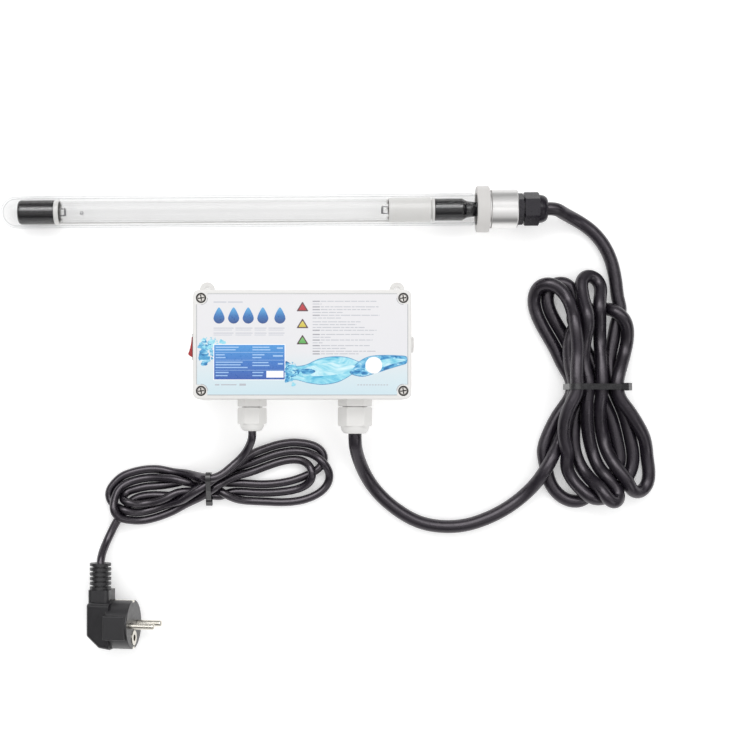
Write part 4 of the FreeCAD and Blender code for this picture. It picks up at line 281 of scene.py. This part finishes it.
def cable_rubber(name, ior, rough):
    """Extruded rubber sheath with a faint ripple and matt scuffs."""
    m = Surface(name, Roughness=rough, IOR=ior, Specular_IOR_Level=0.55,
                Specular_Tint=(1.0, 0.93, 1.0))
    ends = [(0.3, srgb(19, 16, 22)), (0.7, srgb(27, 23, 31))]
    m.set(Base_Color=m.ramp(m.noise(scale=30.0), ends))
    m.gloss(m.noise(scale=160.0, detail=4.0), low=rough - 0.06, high=rough + 0.07)
    m.bump(m.noise(scale=1600.0, detail=4.0, rough=0.6), strength=0.2, depth=0.015)
    m.bump(m.noise(scale=110.0, detail=2.0), strength=0.05, depth=0.3)
    return m.material


def sooted(m, colour, left, right):
    """Patchy soot over the last 2.2 mm of a tube between left and right (m along X)."""
    reach = 0.0022
    along = m.separate()["X"]
    near_left = m.remap(along, (left, left + reach), (1.0, 0.0))
    near_right = m.remap(along, (right - reach, right), (0.0, 1.0))
    patch = m.remap(m.noise(scale=260.0), (0.42, 0.58), (0.0, 1.0))
    near_ends = m.math("ADD", near_left, near_right, clamp=True)
    soot = m.math("MULTIPLY", near_ends, m.math("MULTIPLY", patch, 0.55))
    return m.mix(soot, colour, (0.30, 0.29, 0.28))


def glass(name, edge, body, ends=None):
    """Thin clear wall: nearly invisible face on, with painted shade making it greyer edge on, and a
    polished reflection.
    """
    m = Surface(name)
    m.nodes.remove(m.bsdf)
    # painted shade: the edge colour greys the transparency where the wall is seen edge on
    facing = m.add("LayerWeight", {"Blend": 0.5}).outputs["Facing"]
    middle = tuple(0.75 * a + 0.25 * b for a, b in zip(body, edge))
    stops = [(0.0, body), (0.55, body), (0.80, middle), (0.94, edge), (1.0, edge)]
    colour = m.ramp(facing, stops)
    if ends:
        colour = sooted(m, colour, *ends)
    shadow_ray = m.add("LightPath").outputs["Is Shadow Ray"]
    clear = m.add("BsdfTransparent", {"Color": m.mix(shadow_ray, colour, (0.985,) * 3)})
    waves = m.noise(scale=1.0, detail=2.0, vector=m.mapping(scale=(4.0, 60.0, 60.0)))
    uneven = m.add("Bump", {"Strength": 0.04, "Distance": 0.1 * MM, "Height": waves})
    polish = m.add("BsdfGlossy", {"Roughness": 0.04, "Normal": uneven.outputs["Normal"]})
    fresnel = m.add("Fresnel", {"IOR": 1.46}).outputs["Fac"]
    # weak reflection, capped, and only on the outward side
    outward = m.math("SUBTRACT", 1.0, m.add("NewGeometry").outputs["Backfacing"])
    capped = m.math("MINIMUM", m.math("MULTIPLY", fresnel, 0.35), 0.30)
    share = m.math("MULTIPLY", capped, outward)
    shader = m.mix_shader(share, clear.outputs[0], polish.outputs[0])
    m.feed(m.nodes["Material Output"].inputs["Surface"], shader)
    return m.material


def label_film():
    """Label film: warm white fading to pale cyan at its -Y edge."""
    m = Surface("label_film", Roughness=0.32)
    height = m.remap(m.separate()["Y"], (-0.038, 0.038), (0.0, 1.0))
    wander = m.remap(m.noise(scale=14.0, detail=2.0), (0.0, 1.0), (-0.08, 0.08))
    m.set(Base_Color=m.ramp(m.math("ADD", height, wander), [
        (0.0, srgb(200, 221, 229)), (0.22, srgb(211, 224, 229)),
        (0.42, srgb(224, 224, 227)), (1.0, srgb(225, 224, 226)),
    ]))
    m.gloss(m.noise(scale=400.0), low=0.28, high=0.38)
    m.bump(m.noise(scale=1300.0), strength=0.12, depth=0.02)
    return m.material


materials = {slot: moulded(*settings) for slot, *settings in MOULDED}
materials["screw_steel"] = screw_metal()
materials.update({slot: metal(*settings) for slot, *settings in METALS})
materials["head_metal"] = turned_metal()
materials["cable_rubber"] = cable_rubber("cable_rubber", ior=1.58, rough=0.30)
materials["mains_rubber"] = cable_rubber("mains_rubber", ior=1.66, rough=0.24)
# edge: painted shade of the glass seen edge on; body: its tint face on
materials["quartz"] = glass("quartz_sleeve_glass", edge=srgb(196, 198, 200),
                            body=srgb(250, 250, 250))
materials["label_print"] = label_film()

# pieces that don't take the material of their slot
own_material = {
    # edge: painted shade of the tube seen edge on; body: its tint face on
    "lamp_tube": glass("lamp_tube_glass", edge=srgb(222, 222, 222), body=srgb(252, 252, 252),
                       ends=(-0.1841, 0.0653)),
    "lamp_return_wire": materials["return_lead"],
    "mains_cable": materials["mains_rubber"],
}
slots = {part["node"]: part["material_slot"] for part in frame["record"]["subparts"]}
for name, piece in pieces.items():
    piece.data.materials.clear()
    piece.data.materials.append(own_material.get(name) or materials[slots[name]])

# --------------------------------------------------------------------- inks
# name: (Y span of the gradient in mm, ((position, display colour), ...) from its -Y end)
WHOLE = (-40, 40)
INKS = {
    "title": ((14.97935, 27.62046), ((0, (30, 62, 124)), (0.45, (42, 106, 172)),
                                     (1, (90, 172, 222)))),
    "panel": ((-25.5745, -0.43842), ((0, (38, 84, 166)), (0.5, (48, 112, 190)),
                                     (1, (66, 146, 212)))),
    "grey": (WHOLE, ((0, (178, 180, 188)), (1, (184, 186, 194)))),
    "pale": (WHOLE, ((0, (190, 192, 200)), (1, (196, 198, 206)))),
    "rule": (WHOLE, ((0, (150, 186, 226)), (1, (170, 206, 238)))),
    "white": (WHOLE, ((0, (248, 249, 250)), (1, (250, 251, 252)))),
    "red": ((24.33231, 31.63931), ((0, (176, 30, 44)), (1, (186, 60, 70)))),
    "yellow": ((11.91041, 19.21741), ((0, (196, 176, 52)), (1, (226, 214, 110)))),
    "green": ((0.21921, 7.52621), ((0, (70, 160, 70)), (1, (140, 196, 120)))),
    # edge: painted shade of the groove at the label's border, drawn as a grey line
    "edge": (WHOLE, ((0, (168, 170, 173)), (1, (176, 178, 181)))),
    "rim": (WHOLE, ((0, (66, 40, 48)), (1, (84, 58, 62)))),
    "bold": (WHOLE, ((0, (150, 150, 158)), (1, (160, 160, 168)))),
    "water_edge": ((-31.20089, -7.08779), ((0, (58, 128, 176)), (1, (74, 150, 194)))),
}
# name: (noise scale, then display colours from dark to light)
WATER_INKS = {
    "water_a": (120.0, (54, 160, 204), (112, 196, 222), (160, 220, 234)),
    "water_b": (240.0, (24, 84, 142), (56, 140, 194), (120, 192, 222)),
    "water_c": (110.0, (96, 188, 216), (150, 214, 230), (196, 232, 240)),
}


def gradient_ink(name, span, stops):
    """Printed colour with a gradient along Y and a little mottle."""
    m = Surface(name, Roughness=0.3)
    height = m.remap(m.separate()["Y"], scaled(span, MM), (0.0, 1.0))
    colour = m.ramp(height, [(position, srgb(*shade)) for position, shade in stops])
    mottle = m.remap(m.noise(scale=2500.0, detail=2.0), (0.3, 0.7), (0.0, 0.05))
    m.set(Base_Color=m.mix(mottle, colour, (1, 1, 1)))
    m.gloss(m.noise(scale=500.0, detail=2.0), low=0.26, high=0.34)
    m.bump(m.noise(scale=1500.0, detail=2.0), strength=0.1, depth=0.01)
    return m.material


def water_ink(name, scale, *shades):
    """Swirled water colours, ending in a near-white crest."""
    m = Surface(name, Roughness=0.3)
    slanted = m.mapping(scale=(0.45, 1.0, 1.0), rotation=(0, 0, 0.25))
    swirl = m.noise(scale=scale, detail=4.0, vector=slanted, distortion=1.6)
    colours = [srgb(*shade) for shade in (*shades, (226, 242, 247))]
    m.set(Base_Color=m.ramp(swirl, zip((0.32, 0.45, 0.58, 0.72), colours)))
    m.bump(m.noise(scale=1500.0, detail=2.0), strength=0.1, depth=0.01)
    return m.material


inks = {name: gradient_ink("ink_" + name, *settings) for name, settings in INKS.items()}
inks.update({name: water_ink("ink_" + name, *row) for name, row in WATER_INKS.items()})


# -------------------------------------------------------------- label print
# Label sizes are in mm from the label's middle. Print heights are mm above the film's top face.
def add_object(name, bm, material):
    mesh = bpy.data.meshes.new(name)
    bm.to_mesh(mesh)
    bm.free()
    thing = bpy.data.objects.new(name, mesh)
    bpy.context.scene.collection.objects.link(thing)
    mesh.materials.append(material)
    return thing


def stamp(name, outlines, ink, top, bottom=-0.01, step=0.0):
    """Closed thin prisms in one object; each next one stands a step higher."""
    bm = bmesh.new()
    for number, points in enumerate(outlines):
        count = len(points)
        turns = zip(points, [*points[1:], points[0]])
        if sum(p[0] * q[1] - q[0] * p[1] for p, q in turns) < 0:
            points = points[::-1]
        rings = []
        for z in (LABEL_TOP + bottom * MM, LABEL_TOP + (top + step * number) * MM):
            rings.append([bm.verts.new((x * MM, y * MM, z)) for x, y in points])
        low, high = rings
        bm.faces.new(high)
        bm.faces.new(low[::-1])
        for i in range(count):
            j = (i + 1) % count
            bm.faces.new((low[i], low[j], high[j], high[i]))
    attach(add_object(name, bm, inks[ink]), "lid")


def bar(left, top, width, height):
    right, foot = left + width, top - height
    return [(left, top), (right, top), (right, foot), (left, foot)]


def title_drops():
    """A row of five drops pointing +Y, the last set a little apart."""
    radius, first_x, pitch, last_gap, centre_y = 4.09192, -60.79424, 10.66822, 1.82675, 19.29048
    drops = []
    for k in range(5):
        centre_x = first_x + pitch * k + (last_gap if k == 4 else 0)
        points = []
        for j in range(28):
            angle = 2 * math.pi * j / 28
            x, y = radius * math.sin(angle), radius * math.cos(angle)
            if math.cos(angle) >= 0:        # the upper half narrows and stretches
                x *= 1 - 0.55 * math.cos(angle) ** 1.2
                y *= 1.9
            points.append((centre_x + x, centre_y + y))
        drops.append(points)
    stamp("label_title_drops", drops, "title", top=0.05)


def title_rows():
    left, gap = -64.81309, 1.4614
    rows = [bar(left, 31.347, 9.426, 0.877), bar(-54.291, 31.347, 10.887, 0.877)]
    for y in (12.203, 8.549):
        x = left
        for width in (14.614, 12.4219, 8.7684, 11.6912):
            rows.append(bar(x, y, width, 0.658))
            rows.append(bar(x, y - 1.461, width * 0.93, 0.511))
            x += width + gap
    stamp("label_title_rows", rows, "pale", top=0.04)


# panel text: (top, width) of each bar in the left, middle and right columns
PANEL_LEFT = (
    (-1.681, 16.806), (-3.58, 14.614), (-7.234, 6.576), (-9.28, 7.307), (-12.641, 19.729),
    (-14.541, 18.268), (-16.514, 23.382), (-20.167, 9.499), (-22.432, 8.768),
)
PANEL_MIDDLE = (
    (-1.681, 12.422), (-3.58, 13.153), (-7.234, 8.768), (-9.28, 6.576),
    (-12.933, 11.691), (-15.052, 12.422), (-20.167, 8.038), (-22.432, 7.307),
)
PANEL_RIGHT = ((-2.192, 4.384), (-7.892, 7.307), (-13.664, 3.654))


def panel():
    """Blue panel with a white border, ruled lines, text bars and a white field."""
    left, top, width, height, border = -64.886, 0.146, 52.537, 26.305, 0.5115
    right_column = -14.1025     # right-hand ends of the right column
    stamp("label_panel_border", [bar(left, top, width, height)], "white", top=0.08)
    inset = bar(left + border, top - border, width - 2 * border, height - 2 * border)
    stamp("label_panel", [inset], "panel", bottom=0.05, top=0.11)
    rules = [bar(-63.717, y, 50.199, 0.2557) for y in (-5.773, -11.399, -18.779)]
    for column, rows in ((-63.279, PANEL_LEFT), (-36.389, PANEL_MIDDLE)):
        rules += [bar(column, y, length, 0.804) for y, length in rows]
    rules += [bar(right_column - length, y, length, 1.096) for y, length in PANEL_RIGHT]
    stamp("label_panel_rules", rules, "rule", bottom=0.10, top=0.13)
    field = bar(-26.159, -19.437, 12.495, 4.823)
    stamp("label_panel_field", [field], "white", bottom=0.10, top=0.15)


def edge_shade_line():
    """Painted shade: thin grey line along the label's sides and round the notches at the screws,
    standing for the shadow in the groove at the lid's raised edge.
    """
    half_x, half_y, width, notch = 77.4, 37.2, 0.45, 4.7
    end_x, end_y = SCREW_X - notch, SCREW_Y - notch
    bits = []
    for side in (-1, 1):
        y, inner_y = side * half_y, side * (half_y - width)
        bits.append([(-end_x, y), (end_x, y), (end_x, inner_y), (-end_x, inner_y)])
        x, inner_x = side * half_x, side * (half_x - width)
        bits.append([(x, -end_y), (x, end_y), (inner_x, end_y), (inner_x, -end_y)])
        for up in (-1, 1):
            arcs = []
            for radius in (notch, notch + width):
                angles = [math.pi / 2 * j / 8 for j in range(9)]
                arcs.append([(side * (SCREW_X - radius * math.cos(a)),
                              up * (SCREW_Y - radius * math.sin(a))) for a in angles])
            near, far = arcs
            bits += [[near[j], near[j + 1], far[j + 1], far[j]] for j in range(8)]
    stamp("label_edge_shade_line", bits, "edge", top=0.03)


def triangle(centre_y, size=1.0):
    """Triangle pointing +Y with rounded corners."""
    centre_x, rise, half_width, drop, cut = 0.2192, 4.74955, 4.45727, 2.41131, 0.80377
    foot = centre_y - drop * size
    corners = [Vector((centre_x, centre_y + rise * size)),
               Vector((centre_x + half_width * size, foot)),
               Vector((centre_x - half_width * size, foot))]
    points = []
    for i, corner in enumerate(corners):
        before = (corners[i - 1] - corner).normalized() * cut
        after = (corners[(i + 1) % 3] - corner).normalized() * cut
        for j in range(5):
            t = j / 4
            points.append(corner + before * (1 - t) ** 2 + after * t ** 2)
    return points


def marks():
    centres = {"red": 26.59748, "yellow": 14.24865, "green": 2.41131}
    stamp("label_mark_rims", [triangle(y) for y in centres.values()], "rim", top=0.04)
    for ink, y in centres.items():
        stamp("label_mark_" + ink, [triangle(y, size=0.66)], ink, bottom=0.03, top=0.06)


# text rows: top, width, whether it opens with a bold bar
TEXT_ROWS = (
    (31.785, 46.7648, True), (29.739, 6.5763, False), (27.694, 48.2262, True),
    (25.648, 42.3806, True), (23.602, 21.921, False), (21.556, 48.9569, True),
    (19.51, 21.1903, False), (16.733, 35.0736, False), (14.687, 32.1508, False),
    (12.641, 37.9964, False), (10.595, 46.7648, True), (7.526, 44.5727, True),
    (5.48, 13.1526, False), (3.434, 43.842, True), (1.388, 7.307, False),
    (-0.658, 41.6499, True), (-2.704, 24.1131, False), (-4.75, 46.0341, True),
    (-6.649, 33.6122, True),
)


def text_block():
    left, word_gap = 7.59928, 0.65763
    shortest, spread = 1.82675, 5.1149      # word lengths
    bold_width, bold_pitch = 5.26104, 5.99174
    words, bold = [], []
    for y, width, opens_bold in TEXT_ROWS:
        x = left
        end = x + width
        if opens_bold:
            bold.append(bar(x, y + 0.073, bold_width, 0.767))
            x += bold_pitch
        while x < end:
            length = min(end - x, shortest + spread * random.random())
            words.append(bar(x, y, length, 0.548))
            x += length + word_gap
    stamp("label_text_bars", words, "grey", top=0.03)
    stamp("label_text_bold", bold, "bold", top=0.032)


def foot_bars():
    bars = [bar(-63.79, -29.155, 3.288, 0.877), bar(-59.406, -29.155, 11.326, 0.731),
            bar(-45.888, -28.717, 4.75, 1.461)]
    bars += [bar(40.335 + 2.11903 * k, -29.301, 1.315, 0.658) for k in range(11)]
    stamp("label_foot_bars", bars, "grey", top=0.03)


# flowing ribbons across the label's foot: name, ink, bottom, top,
# then points (x, y) along the upper edge and along the lower edge, both from left to right
RIBBONS = (
    ("rim", "water_edge", -0.01, 0.025,
     ((-12.28, -14.69), (-4.24, -15.78), (3.07, -14.61), (11.84, -10.6),
      (22.07, -8.77), (32.3, -9.21), (39.6, -11.76), (45.45, -14.69)),
     ((-12.28, -25.72), (-4.24, -26.09), (4.53, -28.35), (14.76, -29.52),
      (24.99, -28.06), (32.3, -24.7), (38.14, -21.04), (45.45, -18.41))),
    ("tail_rim", "water_edge", -0.01, 0.0505,
     ((35.59, -18.05), (42.53, -11.76), (49.83, -8.55), (60.06, -7.75),
      (70.29, -8.04), (76.29, -8.91)),
     ((35.59, -21.7), (43.99, -23.67), (52.76, -21.48), (62.99, -18.19),
      (71.75, -15.49), (76.29, -13.81))),
    ("main", "water_a", -0.01, 0.04,
     ((-11.91, -15.13), (-4.24, -16.22), (3.07, -15.13), (11.84, -11.11),
      (22.07, -9.28), (32.3, -9.72), (39.6, -12.2), (45.45, -15.13)),
     ((-11.91, -25.36), (-4.24, -25.72), (4.53, -27.91), (14.76, -29.01),
      (24.99, -27.55), (32.3, -24.26), (38.14, -20.61), (45.45, -18.05))),
    ("tail", "water_b", 0.03, 0.061,
     ((36.68, -18.41), (42.53, -12.2), (49.83, -8.99), (60.06, -8.26),
      (70.29, -8.55), (75.85, -9.28)),
     ((36.68, -21.34), (43.99, -23.16), (52.76, -20.97), (62.99, -17.76),
      (71.75, -14.98), (75.85, -13.37))),
    ("light", "water_c", 0.03, 0.056,
     ((-1.32, -18.78), (8.91, -15.49), (20.61, -13.3), (32.3, -14.39), (41.07, -16.29)),
     ((-1.32, -22.8), (10.38, -23.16), (22.07, -22.43), (32.3, -20.24), (41.07, -18.05))),
    ("tail_light", "water_c", 0.05, 0.084,
     ((46.91, -15.13), (55.68, -11.84), (65.91, -10.38), (74.68, -10.89)),
     ((46.91, -19.51), (57.14, -17.32), (65.91, -14.39), (74.68, -12.2))),
    ("deep", "water_b", 0.05, 0.079,
     ((-10.08, -19.51), (-4.24, -18.41), (3.07, -17.68), (8.91, -18.78)),
     ((-10.08, -22.43), (-2.78, -22.07), (3.8, -22.29), (8.91, -20.61))),
)


def smooth_loop(points, steps=5):
    """Closed Catmull-Rom curve through the points."""
    curve = []
    count = len(points)
    for i in range(count):
        p0, p1, p2, p3 = (Vector(points[(i + d) % count]) for d in (-1, 0, 1, 2))
        for j in range(steps):
            t = j / steps
            curve.append(0.5 * (2 * p1 + (p2 - p0) * t + (2 * p0 - 5 * p1 + 4 * p2 - p3) * t ** 2
                                + (3 * p1 - p0 - 3 * p2 + p3) * t ** 3))
    return curve


def ribbons():
    for name, ink, bottom, top, upper, lower in RIBBONS:
        loop = smooth_loop(upper + lower[::-1])
        stamp("label_wave_" + name, [loop], ink, bottom=bottom, top=top)


# spray: name, ink, seed, count, centre, half spread, least and greatest radius,
# bottom, top, step
SPRAYS = (
    ("a", "water_b", 3, 46, (-70.36641, -5.99174), (5.8456, 9.13375), (0.58456, 2.77666),
     -0.01, 0.0101, 0.0007),
    ("b", "water_a", 5, 40, (-66.34756, 0.94991), (9.4991, 4.01885), (0.36535, 1.75368),
     -0.01, 0.0441, 0.0007),
    ("c", "water_b", 7, 34, (-8.62226, -20.24039), (4.01885, 8.0377), (0.36535, 2.04596),
     0.03, 0.0902, 0.0021),
    ("d", "water_a", 9, 30, (-5.69946, -20.97109), (6.5763, 8.40305), (0.29228, 1.4614),
     0.05, 0.1687, 0.0021),
)
SPRAY_LEFT = -76.43122      # no blob centre lies nearer this line than its radius


def blobs(seed, count, centre, spread, radii):
    """Three-lobed blobs scattered in an ellipse."""
    rng = random.Random(seed)
    outlines = []
    for _ in range(count):
        angle = rng.random() * 2 * math.pi
        reach = math.sqrt(rng.random())
        x = centre[0] + spread[0] * reach * math.cos(angle)
        y = centre[1] - spread[1] * reach * math.sin(angle)
        radius = radii[0] + (radii[1] - radii[0]) * rng.random() ** 2
        x = max(SPRAY_LEFT + radius, x)
        phase = rng.random() * 6.28
        points = []
        for j in range(14):
            t = 2 * math.pi * j / 14
            lobed = radius * (1 + 0.22 * math.sin(3 * t + phase))
            points.append((x + lobed * math.cos(t), y - lobed * math.sin(t)))
        outlines.append(points)
    return outlines


def sprays():
    for name, ink, *scatter, bottom, top, step in SPRAYS:
        stamp("label_spray_" + name, blobs(*scatter), ink, bottom=bottom, top=top, step=step)


def plain_disc():
    x, y, radius = 52.318, -15.272, 6.138
    angles = [2 * math.pi * j / 40 for j in range(40)]
    disc = [(x + radius * math.cos(a), y - radius * math.sin(a)) for a in angles]
    stamp("label_plain_disc", [disc], "white", bottom=0.07, top=0.10)


title_drops()
title_rows()
panel()
edge_shade_line()
marks()
text_block()
foot_bars()
ribbons()
sprays()
plain_disc()


# ------------------------------------------------------- floor, light, view
def floor():
    m = Surface("floor_white", Roughness=0.75, Specular_IOR_Level=0.15,
                Emission_Color=(1, 1, 1), Emission_Strength=0.28)
    ends = [(0.3, (0.93,) * 3), (0.7, (0.945,) * 3)]
    m.set(Base_Color=m.ramp(m.noise(scale=3.0, detail=2.0), ends))
    bm = bmesh.new()
    bmesh.ops.create_grid(bm, x_segments=2, y_segments=2, size=3.0)
    add_object("floor", bm, m.material)


# what polished surfaces mirror: (degrees from overhead towards +Y, brightness)
MIRRORED_SKY = (
    (-100, 0.9), (-66, 0.9), (-58, 0.28), (-44, 0.22), (-32, 0.42), (-14, 0.75),
    (4, 0.85), (9, 1.6), (13, 3.6), (25, 3.6), (30, 1.8), (38, 1.0),
    (52, 0.75), (68, 0.40), (78, 0.38), (90, 0.60), (100, 0.7),
)
SKY_REACH = 100     # degrees the table covers to either side


def studio():
    """White world; glossy rays see the mirrored sky and the camera a brighter white."""
    world = bpy.data.worlds.new("studio")
    bpy.context.scene.world = world
    world.use_nodes = True
    g = Graph(world.node_tree)
    diffuse = g.nodes["Background"]
    g.feed(diffuse.inputs["Color"], (1.0, 1.0, 1.0))
    g.feed(diffuse.inputs["Strength"], 0.90)

    way = g.separate(g.coords["Generated"])
    tilt = g.math("ARCTAN2", way["Y"], way["Z"])
    reach = math.radians(SKY_REACH)
    stops = [((degrees + SKY_REACH) / (2.0 * SKY_REACH), (level, level, level * 1.005))
             for degrees, level in MIRRORED_SKY]
    sky = g.ramp(g.remap(tilt, (-reach, reach), (0.0, 1.0)), stops)
    # the sky dims to either side along X
    sides = g.remap(g.math("ABSOLUTE", way["X"]), (0.30, 0.75), (1.0, 0.25))
    strength = g.math("MULTIPLY", sides, 1.0)
    mirrored = g.add("Background", {"Strength": strength, "Color": sky})
    seen = g.add("Background", {"Color": (1, 1, 1), "Strength": 1.05})
    ray = g.add("LightPath").outputs
    lit = g.mix_shader(ray["Is Glossy Ray"], diffuse.outputs[0], mirrored.outputs[0])
    final = g.mix_shader(ray["Is Camera Ray"], lit, seen.outputs[0])
    g.feed(g.nodes["World Output"].inputs["Surface"], final)
    if hasattr(world, "cycles"):    # missing when the Cycles add-on is off
        world.cycles.sampling_method = "NONE"


def area_light(name, place, size, power):
    """Rectangular light aimed at the origin."""
    data = bpy.data.lights.new(name, "AREA")
    data.shape = "RECTANGLE"
    data.size, data.size_y = size
    data.energy = power
    light = bpy.data.objects.new(name, data)
    light.location = place
    light.rotation_mode = "QUATERNION"
    light.rotation_quaternion = (-Vector(place)).to_track_quat("-Z", "Y")
    bpy.context.scene.collection.objects.link(light)


def camera():
    """Looks straight down; the shifts slide the picture without tilting the view."""
    data = bpy.data.cameras.new("camera")
    data.sensor_width = 36.0
    data.lens = 76.597826
    data.shift_x = 0.08940217
    data.shift_y = 0.06453804
    data.clip_start = 0.05
    data.clip_end = 20.0
    view = bpy.data.objects.new("camera", data)
    view.location = (0.0, -0.052, 1.2)
    bpy.context.scene.collection.objects.link(view)
    bpy.context.scene.camera = view


floor()
studio()
area_light("key", place=(-0.15, 0.95, 1.35), size=(1.1, 0.45), power=6.0)
area_light("fill", place=(1.2, -0.9, 1.3), size=(0.9, 0.9), power=3.0)
camera()

scene = bpy.context.scene
if hasattr(scene, "cycles"):        # missing when the Cycles add-on is off
    scene.cycles.transparent_max_bounces = 48       # many glass walls lie over each other
scene.view_settings.view_transform = "Standard"
scene.view_settings.look = "None"
